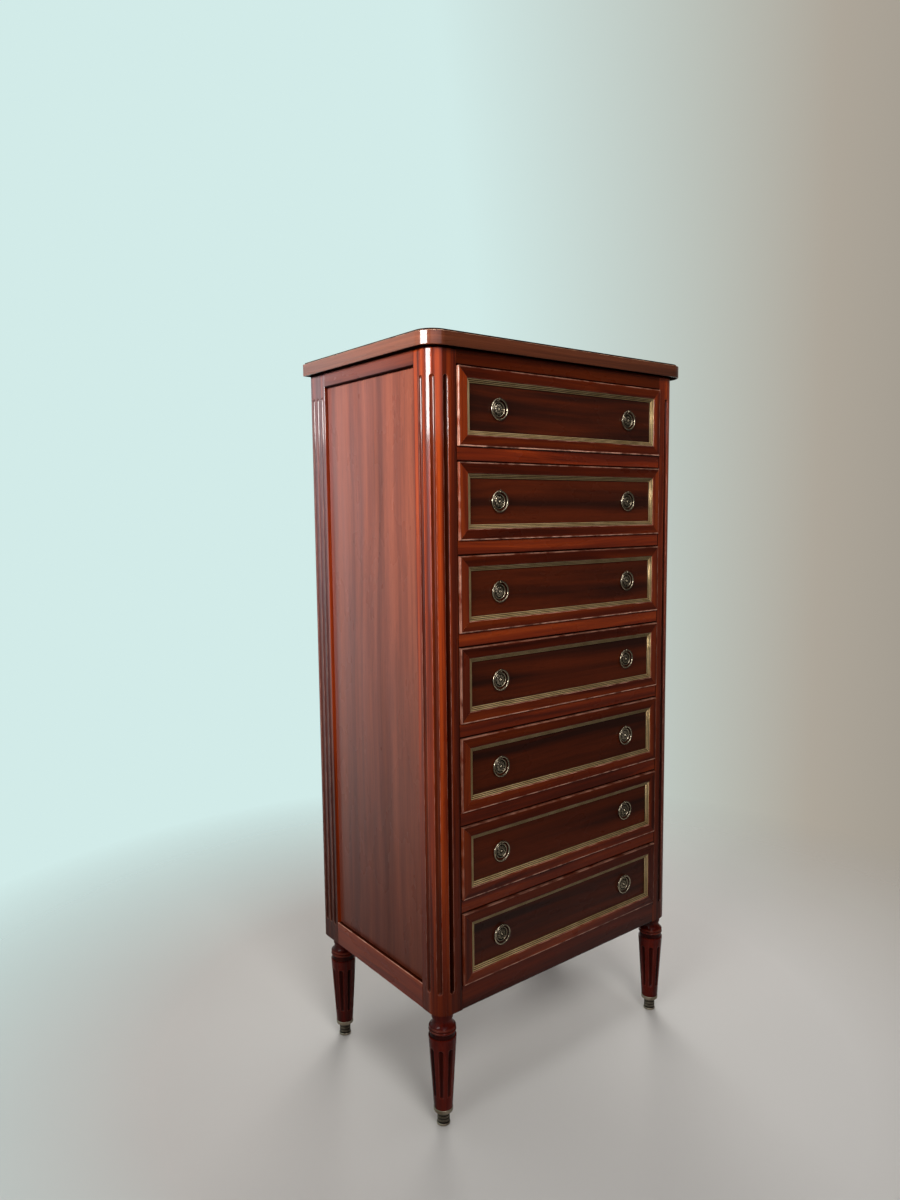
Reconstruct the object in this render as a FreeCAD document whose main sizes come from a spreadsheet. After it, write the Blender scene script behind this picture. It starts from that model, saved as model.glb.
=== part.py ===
import FreeCAD, Part
import math
import os
import re

import Sketcher

# A semainier: a tall chest of seven equal drawers on four turned and fluted legs.
# Millimetres. +Z is up, the drawers open towards -Y, and the origin is on the floor under the
# middle of the piece.

SIZES = {
    "overall_width": 604,
    "overall_depth": 375,
    "overall_height": 1274,
    # the board on top stands past the case at the front and the sides, and is flush behind
    "top_thickness": 24,
    "side_overhang": 15,
    "front_overhang": 12,
    "top_radius": 34,
    "lip_height": 3,
    "lip_setback": 2.5,
    "lip_arris": 1,
    # front posts and rear stiles
    "leg_height": 198,
    "post_width": 48,
    "post_depth": 45,
    "post_radius": 26,
    "stile_size": 48,
    "flute_radius": 4.6,
    "flute_lift": 1.2,
    "flute_bottom": 233,
    "flute_top": 1210,
    "flute_place": 27,
    "flute_pitch": 14.5,
    # frame and panel sides
    "panel_setback": 7,
    "panel_thickness": 10,
    "groove_depth": 8,
    "glue_gap": 0.2,
    "side_rail_thickness": 22,
    "side_top_rail": 25,
    "side_bottom_rail": 42,
    "side_rail_bevel": 5,
    # rails across the front and the back
    "front_rail_depth": 40,
    "top_rail_height": 24.2,
    "tenon_length": 12,
    "tenon_thickness": 10,
    "tenon_setback": 14,
    "tenon_shoulder": 4,
    "back_thickness": 6,
    "back_rebate": 12,
    "rear_rail_thickness": 22,
    "rear_rail_height": 40,
    # drawer runners with their guides, and the stops that the drawer fronts meet
    "bearer_width": 25,
    "bearer_height": 20,
    "guide_height": 18,
    "stop_width": 36,
    "stop_depth": 13,
    "stop_height": 5,
    "stop_place": 150,
    # drawers
    "drawer_pitch": 144.2,
    "front_width": 476,
    "front_height": 120.4,
    "drawer_gap": 0.8,
    "front_proud": 4,
    "board_face": 2,
    "board_thickness": 18,
    "frame_member_width": 17.5,
    "frame_arris": 1.2,
    "moulding_width": 7,
    "drawer_side_thickness": 10,
    "drawer_side_height": 100,
    "drawer_side_inset": 2,
    "drawer_depth": 340,
    "drawer_bottom_thickness": 5,
    "drawer_bottom_lift": 8,
    "drawer_bottom_housing": 4,
    "running_gap": 0.3,
    # ring pulls
    "pull_place": 153.5,
    "ring_radius": 16.05,
    "ring_wire": 1.45,
    "ring_standoff": 3.2,
    "plate_radius": 12.8,
    "plate_rim": 2.4,
    "plate_rise": 4.2,
    "lug_width": 4.2,
    "lug_radius": 3,
    "pin_play": 0.05,
    # legs and their metal foot caps
    "leg_inset": 24,
    "shaft_top_radius": 23.3,
    "shaft_foot_radius": 15.6,
    "shaft_top": 155,
    "cap_height": 30,
    "cap_ring_radius": 16.2,
    "cap_radius": 10.3,
    "cap_rim_radius": 11.2,
    "spigot_radius": 6,
    "spigot_length": 14,
    "dowel_radius": 10,
    "dowel_length": 38,
    "neck_radius": 16.2,
    "collar_radius": 17.8,
    "leg_flute_top": 138,
    "leg_flute_bottom": 52,
    "leg_flute_wide": 4.6,
    "leg_flute_narrow": 3.5,
    "leg_flute_lift": 1.4,
}
DRAWERS = 7

# Lines that many pieces share, written as formulas of the sizes above.
SIDE = "(overall_width / 2 - side_overhang)"
FRONT = "(front_overhang - overall_depth / 2)"
BACK = "(overall_depth / 2)"
CASE_TOP = "(overall_height - top_thickness)"
OPENING_HALF = "(overall_width / 2 - side_overhang - post_width)"
PANEL_OUT = "(overall_width / 2 - side_overhang - panel_setback)"
PANEL_IN = f"({PANEL_OUT} - panel_thickness)"
POST_REAR = f"({FRONT} + post_depth)"
STILE_FRONT = f"({BACK} - stile_size)"
FIRST_FRONT_TOP = f"({CASE_TOP} - top_rail_height - drawer_gap)"
BEHIND_RAILS = f"({BACK} - back_thickness)"
BOARD_BACK = "(board_face + board_thickness)"
REAR_TENON_FACE = f"({BEHIND_RAILS} - rear_rail_thickness - tenon_setback / 2)"

# Round work is drawn with this many flats, to keep repeated pieces light.
ROUND_SIDES = 16
PLATE_SIDES = 12
FLUTE_SIDES = 8
RING_SIDES = 20
WIRE_SIDES = 6

LEG_FLUTES = 8

doc = FreeCAD.newDocument("semainier")
sheet = doc.addObject("Spreadsheet::Sheet", "Sizes")
for row, (alias, value) in enumerate(SIZES.items(), 1):
    sheet.set(f"A{row}", alias)
    sheet.set(f"B{row}", str(value))
    sheet.setAlias(f"B{row}", alias)
doc.recompute()


def sized(formula):
    """The formula with each size's name pointing at its cell. Every alias has an underscore."""
    return re.sub(r"\b([a-z]+(?:_[a-z]+)+)\b", r"Sizes.\1", str(formula))


def value_of(formula):
    return float(sheet.evalExpression(sized(formula)))


def bind(thing, path, formula):
    thing.setExpression(path, sized(formula))


def place(thing, x="0", y="0", z="0", axis=None, angle="0"):
    """Puts a piece at a point given by formulas, turned about an axis."""
    if axis is not None:
        rotation = FreeCAD.Rotation(FreeCAD.Vector(*axis), value_of(angle))
        thing.Placement = FreeCAD.Placement(FreeCAD.Vector(0, 0, 0), rotation)
    for letter, formula in zip("xyz", (x, y, z)):
        bind(thing, f"Placement.Base.{letter}", formula)
    return thing


def block(name, x, y, z):
    """A rectangular piece between the low and high formulas on each axis."""
    thing = doc.addObject("Part::Box", name)
    for size, (low, high) in zip(("Length", "Width", "Height"), (x, y, z)):
        bind(thing, size, f"({high}) - ({low})")
    return place(thing, x[0], y[0], z[0])


def group(name, pieces):
    thing = doc.addObject("Part::Compound", name)
    thing.Links = pieces
    return thing


def fuse(name, pieces):
    thing = doc.addObject("Part::MultiFuse", name)
    thing.Shapes = pieces
    return thing


def cut(name, base, tool):
    thing = doc.addObject("Part::Cut", name)
    thing.Base = base
    thing.Tool = tool
    return thing


def mirrored(name, source):
    """The same piece on the other side of the chest."""
    thing = doc.addObject("Part::Mirroring", name)
    thing.Source = source
    thing.Normal = FreeCAD.Vector(1, 0, 0)
    return thing


def origin_part(body, role):
    return next(part for part in body.Origin.OriginFeatures if part.Role == role)


def new_body(name):
    return doc.addObject("PartDesign::Body", name)


def sketch_on(body, name, plane, offset=("0", "0", "0"), turn_axis=None, turn="0"):
    """A sketch on one of the body's own planes, moved and turned within that plane's frame."""
    sketch = body.newObject("Sketcher::SketchObject", name)
    sketch.AttachmentSupport = (origin_part(body, plane), [""])
    sketch.MapMode = "FlatFace"
    if turn_axis is not None:
        rotation = FreeCAD.Rotation(FreeCAD.Vector(*turn_axis), value_of(turn))
        sketch.AttachmentOffset = FreeCAD.Placement(FreeCAD.Vector(0, 0, 0), rotation)
    for letter, formula in zip("xyz", offset):
        bind(sketch, f"AttachmentOffset.Base.{letter}", formula)
    return sketch


def arc_through(start, end, radius, left):
    """The arc from start to end, shorter way round, with its centre left or right of the chord."""
    chord = end - start
    middle = (start + end) * 0.5
    height = math.sqrt(max(radius**2 - (chord.Length / 2) ** 2, 0.0))
    side = FreeCAD.Vector(-chord.y, chord.x, 0).normalize() * (1 if left else -1)
    centre = middle + side * height
    circle = Part.Circle(centre, FreeCAD.Vector(0, 0, 1), radius)
    angles = [math.atan2((p - centre).y, (p - centre).x) for p in (start, end)]
    return Part.ArcOfCircle(circle, *(angles if left else reversed(angles)))


def draw_outline(sketch, points, arcs=None):
    """A closed outline through (x, y) formulas. An arc instead of a line arrives at point N where
    arcs[N] gives its radius and the side, left or right of its chord, that its centre is on."""
    arcs = arcs or {}
    count = len(points)
    spots = [FreeCAD.Vector(value_of(x), value_of(y), 0) for x, y in points]
    ends = []
    for index in range(count):
        following = (index + 1) % count
        start, end = spots[index], spots[following]
        if following not in arcs:
            ends.append((sketch.addGeometry(Part.LineSegment(start, end)), 1, 2))
            continue
        radius, side = arcs[following]
        arc = sketch.addGeometry(arc_through(start, end, value_of(radius), side == "left"))
        ends.append((arc, 1, 2) if side == "left" else (arc, 2, 1))
    for index in range(count):
        line, _, last = ends[index]
        following, first, _ = ends[(index + 1) % count]
        sketch.addConstraint(Sketcher.Constraint("Coincident", line, last, following, first))
    for index, (x, y) in enumerate(points):
        line, first, _ = ends[index]
        for kind, name, formula in (("DistanceX", f"x{index}", x), ("DistanceY", f"y{index}", y)):
            number = value_of(formula)
            made = sketch.addConstraint(Sketcher.Constraint(kind, -1, 1, line, first, number))
            sketch.renameConstraint(made, name)
            bind(sketch, f"Constraints.{name}", formula)
    for index, (radius, _) in arcs.items():
        arc = ends[index - 1][0]
        made = sketch.addConstraint(Sketcher.Constraint("Radius", arc, value_of(radius)))
        sketch.renameConstraint(made, f"radius{index}")
        bind(sketch, f"Constraints.radius{index}", radius)
    return sketch


def pad(body, sketch, length, reverse=False):
    feature = body.newObject("PartDesign::Pad", f"{sketch.Name}_pad")
    feature.Profile = sketch
    feature.Reversed = reverse
    bind(feature, "Length", length)
    return feature


def turned(name, profile, sides):
    """Round work about +Z, drawn with flats: a solid through the (radius, height) formulas."""
    corners = []
    for radius, height in profile:
        spots = []
        for side in range(sides):
            angle = 2 * math.pi * (side + 0.5) / sides
            reach = value_of(radius)
            spots.append(
                FreeCAD.Vector(reach * math.cos(angle), reach * math.sin(angle), value_of(height))
            )
        corners.append(spots + [spots[0]])
    outlines = [corners[0][::-1], corners[-1]]
    for low, high in zip(corners, corners[1:]):
        for side in range(sides):
            outlines.append([low[side], low[side + 1], high[side + 1], high[side], low[side]])
    faces = [Part.Face(Part.makePolygon(outline)) for outline in outlines]
    thing = doc.addObject("Part::Feature", name)
    thing.Shape = Part.makeSolid(Part.makeShell(faces))
    return thing


def edges_where(shape, test):
    """Names of the straight or round edges whose middle point passes the test."""
    names = []
    for number, edge in enumerate(shape.Edges, 1):
        middle = edge.valueAt((edge.FirstParameter + edge.LastParameter) / 2)
        if test(middle):
            names.append(f"Edge{number}")
    return names


def chamfer_edges(body, name, test, size):
    doc.recompute()
    base = body.Tip
    names = edges_where(base.Shape, test)
    chamfer = body.newObject("PartDesign::Chamfer", name)
    chamfer.Base = (base, names)
    bind(chamfer, "Size", size)
    return chamfer


def near(value, formula):
    return abs(value - value_of(formula)) < 0.01


# --- top -----------------------------------------------------------------------------------


def draw_rounded_plan(sketch, half, front, radius):
    """A plan that is square behind and rounded at its two front corners."""
    points = [
        (f"-{half}", BACK),
        (f"-{half}", f"{front} + {radius}"),
        (f"-{half} + {radius}", front),
        (f"{half} - {radius}", front),
        (half, f"{front} + {radius}"),
        (half, BACK),
    ]
    return draw_outline(sketch, points, {2: (radius, "left"), 4: (radius, "left")})


def make_top():
    """The board, with a lip set back along its front and sides."""
    body = new_body("top")
    plan = sketch_on(body, "top_plan", "XY_Plane")
    draw_rounded_plan(plan, "(overall_width / 2)", f"-{BACK}", "top_radius")
    pad(body, plan, "top_thickness - lip_height")
    lip = sketch_on(body, "lip_plan", "XY_Plane", ("0", "0", "top_thickness - lip_height"))
    edge = "(overall_width / 2 - lip_setback)"
    draw_rounded_plan(lip, edge, f"(-{BACK} + lip_setback)", "(top_radius - lip_setback)")
    pad(body, lip, "lip_height")
    chamfer_edges(
        body,
        "lip_arris_chamfer",
        lambda p: near(p.z, "top_thickness") and p.y < value_of(BACK) - 1,
        "lip_arris",
    )
    return place(body, z=CASE_TOP)


# --- posts and stiles ------------------------------------------------------------------------


def flute_cutter(name, low, high, low_radius, high_radius):
    """A long rod with pointed ends, which leaves a flute when it is cut away."""
    tip = "0.8"
    profile = [
        (tip, low),
        (low_radius, f"{low} + {low_radius}"),
        (high_radius, f"{high} - {high_radius}"),
        (tip, high),
    ]
    return turned(name, profile, FLUTE_SIDES)


def copy_at(name, source, x, y, turn="0"):
    """The same piece again, moved, and turned about the vertical."""
    return place(group(name, [source]), x, y, "0", (0, 0, 1), turn)


def rail_spans():
    """Name, bottom and top of each rail across the front, from the top down."""
    spans = [("top_rail", f"{CASE_TOP} - top_rail_height", CASE_TOP)]
    for number in range(1, DRAWERS):
        high = f"{FIRST_FRONT_TOP} - {number - 1} * drawer_pitch - front_height - drawer_gap"
        low = f"{FIRST_FRONT_TOP} - {number} * drawer_pitch + drawer_gap"
        spans.append((f"divider_{number}", low, high))
    lowest = f"{FIRST_FRONT_TOP} - {DRAWERS - 1} * drawer_pitch - front_height - drawer_gap"
    spans.append(("bottom_rail", "leg_height", lowest))
    return spans


def rear_rail_spans():
    return [
        ("rear_top_rail", f"{CASE_TOP} - rear_rail_height", CASE_TOP),
        ("rear_bottom_rail", "leg_height", "leg_height + rear_rail_height"),
    ]


def tenons(prefix, spans, face, play):
    """The tenons of a set of rails, or with play added, the tools that cut their mortises."""
    low_y = f"{face} + tenon_setback - {play}"
    high_y = f"{face} + tenon_setback + tenon_thickness + {play}"
    reach = f"{OPENING_HALF} + tenon_length + {play}"
    made = []
    for name, low, high in spans:
        z = (f"{low} + tenon_shoulder - {play}", f"{high} - tenon_shoulder + {play}")
        made.append(block(f"{prefix}_{name}", (f"-({reach})", reach), (low_y, high_y), z))
    return made


def make_front_post():
    """The left front post, and the right one as its mirror image."""
    body = new_body("post_blank")
    out_x = f"-{SIDE}"
    inner = f"-{OPENING_HALF}"
    slot = (f"-{PANEL_OUT}", f"-{PANEL_IN} + glue_gap")
    section = sketch_on(body, "post_section", "XY_Plane")
    draw_outline(
        section,
        [
            (f"{out_x} + post_radius", FRONT),
            (inner, FRONT),
            (inner, POST_REAR),
            (slot[1], POST_REAR),
            (slot[1], f"{POST_REAR} - groove_depth"),
            (slot[0], f"{POST_REAR} - groove_depth"),
            (slot[0], POST_REAR),
            (out_x, POST_REAR),
            (out_x, f"{FRONT} + post_radius"),
        ],
        {0: ("post_radius", "left")},
    )
    pad(body, section, f"{CASE_TOP} - leg_height")
    place(body, z="leg_height")
    # Three flutes: one on the rounded corner and one on each of the two faces beside it.
    cutter = flute_cutter(
        "post_flute_cutter", "flute_bottom", "flute_top", "flute_radius", "flute_radius"
    )
    diagonal = "post_radius - (post_radius + flute_lift) * cos(45)"
    flutes = []
    for face, x, y, turn in (
        ("side", f"{out_x} - flute_lift", f"{FRONT} + flute_place", "0"),
        ("corner", f"{out_x} + {diagonal}", f"{FRONT} + {diagonal}", "45"),
        ("front", f"{out_x} + flute_place", f"{FRONT} - flute_lift", "90"),
    ):
        flutes.append(copy_at(f"post_flute_{face}", cutter, x, y, turn))
    bore = dowel_bore("post_bore", f"{out_x} + leg_inset", f"{FRONT} + leg_inset")
    mortises = tenons("post_mortise", rail_spans(), FRONT, "glue_gap / 2")
    left = cut("front_post_left", body, group("post_cutters", flutes + mortises + [bore]))
    return [left, mirrored("front_post_right", left)]


def dowel_bore(name, x, y):
    """The tool that bores the lower end of a post or stile for a leg's dowel."""
    radius = "dowel_radius + glue_gap"
    low = "leg_height - glue_gap"
    high = "leg_height + dowel_length + glue_gap"
    return place(turned(name, [(radius, low), (radius, high)], ROUND_SIDES), x, y)


def make_rear_stile():
    """The left rear stile, and the right one as its mirror image."""
    body = new_body("stile_blank")
    out_x = f"-{SIDE}"
    inner = f"-{OPENING_HALF}"
    slot = (f"-{PANEL_OUT}", f"-{PANEL_IN} + glue_gap")
    section = sketch_on(body, "stile_section", "XY_Plane")
    draw_outline(
        section,
        [
            (out_x, STILE_FRONT),
            (slot[0], STILE_FRONT),
            (slot[0], f"{STILE_FRONT} + groove_depth"),
            (slot[1], f"{STILE_FRONT} + groove_depth"),
            (slot[1], STILE_FRONT),
            (inner, STILE_FRONT),
            (inner, BEHIND_RAILS),
            (f"{inner} - back_rebate", BEHIND_RAILS),
            (f"{inner} - back_rebate", BACK),
            (out_x, BACK),
        ],
    )
    pad(body, section, f"{CASE_TOP} - leg_height")
    place(body, z="leg_height")
    cutter = flute_cutter(
        "stile_flute_cutter", "flute_bottom", "flute_top", "flute_radius", "flute_radius"
    )
    middle = f"{BACK} - stile_size / 2"
    flutes = [
        copy_at(
            f"stile_flute_{number + 2}",
            cutter,
            f"{out_x} - flute_lift",
            f"{middle} + {number} * flute_pitch",
        )
        for number in (-1, 0, 1)
    ]
    bore = dowel_bore("stile_bore", f"{out_x} + stile_size / 2", middle)
    mortises = tenons("stile_mortise", rear_rail_spans(), REAR_TENON_FACE, "glue_gap / 2")
    left = cut("rear_stile_left", body, group("stile_cutters", flutes + mortises + [bore]))
    return [left, mirrored("rear_stile_right", left)]


# --- sides -----------------------------------------------------------------------------------


def side_rail(name, low, high, inward):
    """One rail of the left side: its panel groove faces inward, up or down, and it has a stub
    tenon in the grooves of the post and the stile. The lower rail's outer arris is bevelled."""
    out = f"-{SIDE}"
    slot = (f"-{PANEL_OUT}", f"-{PANEL_IN} + glue_gap")
    if inward == "down":
        edge, floor, far = low, f"{low} + groove_depth", high
        corner = [(out, edge)]
    else:
        edge, floor, far = high, f"{high} - groove_depth", low
        corner = [(out, f"{edge} - side_rail_bevel"), (f"{out} + side_rail_bevel", edge)]
    body = new_body(f"{name}_body")
    section = sketch_on(body, f"{name}_section", "XZ_Plane")
    inside = f"{out} + side_rail_thickness"
    outline = corner + [
        (slot[0], edge),
        (slot[0], floor),
        (slot[1], floor),
        (slot[1], edge),
        (inside, edge),
        (inside, far),
        (out, far),
    ]
    draw_outline(section, outline)
    pad(body, section, f"{STILE_FRONT} - {POST_REAR}")
    place(body, y=STILE_FRONT)
    ends = (f"{POST_REAR} - groove_depth + glue_gap", f"{STILE_FRONT} + groove_depth - glue_gap")
    z = (floor, far) if inward == "down" else (far, floor)
    tongue = block(f"{name}_tongue", (slot[0], f"-{PANEL_IN}"), ends, z)
    return fuse(name, [body, tongue])


def make_sides():
    panel = block(
        "side_panel_left",
        (f"-{PANEL_OUT}", f"-{PANEL_IN}"),
        (f"{POST_REAR} - groove_depth + glue_gap", f"{STILE_FRONT} + groove_depth - glue_gap"),
        (
            "leg_height + side_bottom_rail - groove_depth + glue_gap",
            f"{CASE_TOP} - side_top_rail + groove_depth - glue_gap",
        ),
    )
    rails = group(
        "side_rails_left",
        [
            side_rail("side_top_rail_left", f"{CASE_TOP} - side_top_rail", CASE_TOP, "down"),
            side_rail("side_bottom_rail_left", "leg_height", "leg_height + side_bottom_rail", "up"),
        ],
    )
    return [
        panel,
        mirrored("side_panel_right", panel),
        rails,
        mirrored("side_rails_right", rails),
    ]


# --- rails, back, runners and stops ------------------------------------------------------------


def make_rails(name, spans, face, y):
    """Rails between the posts, each with a tenon at both ends."""
    rails = []
    for (label, low, high), tenon in zip(spans, tenons(f"{name}_tenon", spans, face, "0")):
        bar = block(f"{label}_bar", (f"-{OPENING_HALF}", OPENING_HALF), y, (low, high))
        rails.append(fuse(label, [bar, tenon]))
    return group(name, rails)


def opening_bottom(number):
    """The level that drawer NUMBER runs on, counted from the top."""
    return f"{FIRST_FRONT_TOP} - {number - 1} * drawer_pitch - front_height - drawer_gap"


def make_runners():
    """For each drawer and side: a bearer under the drawer side with a guide beside it, and a
    stop, a small block on the rail that the back of the closed drawer front meets. The guides
    lie against the side panel, but the lowest lies against the thicker lower rail."""
    front_back = f"{FRONT} + {BOARD_BACK}"
    left = []
    for number in range(1, DRAWERS + 1):
        level = opening_bottom(number)
        low = f"{level} - bearer_height"
        outside = f"({SIDE} - side_rail_thickness)" if number == DRAWERS else PANEL_IN
        bearer = block(
            f"bearer_{number}",
            (f"-{OPENING_HALF}", f"-{OPENING_HALF} + bearer_width"),
            (f"{FRONT} + front_rail_depth", f"{BEHIND_RAILS} - rear_rail_thickness"),
            (low, level),
        )
        guide = block(
            f"guide_{number}",
            (f"-{outside} + glue_gap", f"-{OPENING_HALF}"),
            (POST_REAR, STILE_FRONT),
            (low, f"{level} + guide_height"),
        )
        stop = block(
            f"stop_{number}",
            ("-stop_place - stop_width / 2", "-stop_place + stop_width / 2"),
            (f"{front_back} + running_gap", f"{front_back} + running_gap + stop_depth"),
            (level, f"{level} + stop_height"),
        )
        left += [fuse(f"runner_{number}", [bearer, guide]), stop]
    runners = group("runners_left", left)
    return group("drawer_runners", [runners, mirrored("runners_right", runners)])


def make_back():
    half = f"{OPENING_HALF} + back_rebate - glue_gap"
    return block("back_panel", (f"-({half})", half), (BEHIND_RAILS, BACK), ("leg_height", CASE_TOP))


# --- legs --------------------------------------------------------------------------------------


def make_leg():
    """A turned leg about its own axis: spigot, tapered fluted shaft, two beads, neck, dowel."""
    blank = turned(
        "leg_blank",
        [
            ("spigot_radius", "cap_height - spigot_length"),
            ("spigot_radius", "cap_height"),
            ("shaft_foot_radius", "cap_height"),
            ("shaft_top_radius", "shaft_top"),
            ("shaft_top_radius - 1.8", "shaft_top + 1.4"),
            ("shaft_top_radius - 2.2", "shaft_top + 8"),
            ("shaft_top_radius - 0.4", "shaft_top + 11"),
            ("shaft_top_radius - 2", "shaft_top + 13.2"),
            ("shaft_top_radius - 0.7", "shaft_top + 15.6"),
            ("shaft_top_radius - 4", "shaft_top + 20"),
            ("neck_radius", "leg_height - 12.5"),
            ("collar_radius", "leg_height - 12.5"),
            ("collar_radius", "leg_height"),
            ("dowel_radius", "leg_height"),
            ("dowel_radius", "leg_height + dowel_length"),
        ],
        ROUND_SIDES,
    )
    # A flute's axis lies along the shaft's slope, a little outside its surface.
    slope = "atan((shaft_top_radius - shaft_foot_radius) / (shaft_top - cap_height))"
    cutter = flute_cutter(
        "leg_flute_cutter",
        "leg_flute_bottom - cap_height",
        "leg_flute_top - cap_height",
        "leg_flute_narrow",
        "leg_flute_wide",
    )
    place(cutter, "shaft_foot_radius + leg_flute_lift", "0", "cap_height", (0, 1, 0), slope)
    flutes = [
        copy_at(f"leg_flute_{number}", cutter, "0", "0", f"{number} * 360 / {LEG_FLUTES}")
        for number in range(LEG_FLUTES)
    ]
    return cut("turned_leg", blank, group("leg_flutes", flutes))


def make_foot_cap():
    """A metal shoe: a ring round the shaft's foot and a slimmer foot with a rim below."""
    recess = "spigot_radius + glue_gap"
    recess_floor = "cap_height - spigot_length - glue_gap"
    return turned(
        "foot_cap",
        [
            ("cap_rim_radius", "0"),
            ("cap_rim_radius", "3"),
            ("cap_radius", "4.4"),
            ("cap_radius", "cap_height - 8.5"),
            ("cap_ring_radius", "cap_height - 7"),
            ("cap_ring_radius", "cap_height"),
            (recess, "cap_height"),
            (recess, recess_floor),
        ],
        ROUND_SIDES,
    )


def leg_spots():
    x = f"({SIDE} - leg_inset)"
    front = f"{FRONT} + leg_inset"
    rear = f"{BACK} - stile_size / 2"
    return {
        "front_left": (f"-{x}", front),
        "front_right": (x, front),
        "rear_left": (f"-{x}", rear),
        "rear_right": (x, rear),
    }


def make_legs():
    leg = make_leg()
    cap = make_foot_cap()
    legs = []
    caps = []
    for spot, (x, y) in leg_spots().items():
        legs.append(place(group(f"leg_{spot}", [leg]), x, y))
        caps.append(place(group(f"foot_cap_{spot}", [cap]), x, y))
    return legs + [group("foot_caps", caps)]


# --- drawers -------------------------------------------------------------------------------------
# The pieces of one drawer are modelled about the middle of its front, with y = 0 in the plane of
# the case front. Each drawer of the chest is that set of pieces at its own height.


def mitred_member(name, section, length, width, turn):
    """A length of moulding mitred at both ends, with its outer edge along the x axis before it is
    turned. In the section, x runs inwards from that edge and y from the case front backwards."""
    profile = doc.addObject("Sketcher::SketchObject", f"{name}_section")
    draw_outline(profile, section)
    profile.Placement = FreeCAD.Placement(
        FreeCAD.Vector(0, 0, 0), FreeCAD.Rotation(FreeCAD.Vector(0, 1, 0), -90)
    )
    bar = doc.addObject("Part::Extrusion", f"{name}_bar")
    bar.Base = profile
    bar.DirMode = "Custom"
    bar.Dir = FreeCAD.Vector(1, 0, 0)
    bar.Symmetric = True
    bar.Solid = True
    bind(bar, "LengthFwd", length)
    outline = doc.addObject("Sketcher::SketchObject", f"{name}_mitres")
    draw_outline(
        outline,
        [
            (f"-{length} / 2", "0"),
            (f"{length} / 2", "0"),
            (f"{length} / 2 - {width}", width),
            (f"-{length} / 2 + {width}", width),
        ],
    )
    outline.Placement = FreeCAD.Placement(
        FreeCAD.Vector(0, 0, 0), FreeCAD.Rotation(FreeCAD.Vector(1, 0, 0), 90)
    )
    mitres = doc.addObject("Part::Extrusion", f"{name}_mitre_block")
    mitres.Base = outline
    mitres.DirMode = "Custom"
    mitres.Dir = FreeCAD.Vector(0, 1, 0)
    mitres.Symmetric = True
    mitres.Solid = True
    bind(mitres, "LengthFwd", "4 * board_thickness")
    member = doc.addObject("Part::MultiCommon", name)
    member.Shapes = [bar, mitres]
    member.Placement.Rotation = FreeCAD.Rotation(FreeCAD.Vector(0, 1, 0), turn)
    return member


def mitred_frame(name, section, width, height, member_width):
    """Four mitred members round a rectangle of the given outer size."""
    members = []
    for side, length, turn, x, z in (
        ("bottom", width, 0, "0", f"-{height} / 2"),
        ("right", height, -90, f"{width} / 2", "0"),
        ("top", width, 180, "0", f"{height} / 2"),
        ("left", height, 90, f"-{width} / 2", "0"),
    ):
        member = mitred_member(f"{name}_{side}", section, length, member_width, turn)
        bind(member, "Placement.Base.x", x)
        bind(member, "Placement.Base.z", z)
        members.append(member)
    return members


def make_drawer_front():
    """The front board with its four applied and mitred frame members."""
    half = ("front_width / 2", "front_height / 2")
    board = block(
        "front_board_blank",
        (f"-{half[0]}", half[0]),
        ("board_face", "board_face + board_thickness"),
        (f"-{half[1]}", half[1]),
    )
    low = bottom_level()
    slot = block(
        "front_board_slot",
        (f"-{BOX_INSIDE} - drawer_bottom_housing", f"{BOX_INSIDE} + drawer_bottom_housing"),
        (f"{BOARD_BACK} - drawer_bottom_housing - glue_gap", BOARD_BACK),
        (f"{low} - glue_gap / 2", f"{low} + drawer_bottom_thickness + glue_gap / 2"),
    )
    section = [
        ("0", "board_face"),
        ("frame_member_width", "board_face"),
        ("frame_member_width", "-front_proud"),
        ("frame_arris", "-front_proud"),
        ("frame_arris * 0.3", "frame_arris * 0.3 - front_proud"),
        ("0", "frame_arris - front_proud"),
    ]
    frame = mitred_frame("frame", section, "front_width", "front_height", "frame_member_width")
    return group("front_pieces", [cut("front_board", board, slot)] + frame)


def make_moulding():
    """Four mitred strips with three reeds that step down from the frame to the panel."""
    width = "(front_width - 2 * frame_member_width)"
    height = "(front_height - 2 * frame_member_width)"
    section = [
        ("0", "board_face"),
        ("moulding_width", "board_face"),
        ("moulding_width", "0.6"),
        ("5.6", "-0.9"),
        ("4.7", "-0.6"),
        ("3.7", "-2.3"),
        ("2.7", "-2.0"),
        ("1.4", "-3.7"),
        ("0", "-3.4"),
    ]
    return group("moulding_pieces", mitred_frame("strip", section, width, height, "moulding_width"))


BOX_OUTSIDE = "(front_width / 2 - drawer_side_inset)"
BOX_INSIDE = f"({BOX_OUTSIDE} - drawer_side_thickness)"
BOX_LOW = "(running_gap - front_height / 2 - drawer_gap)"


def bottom_level():
    return f"({BOX_LOW} + drawer_bottom_lift)"


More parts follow.
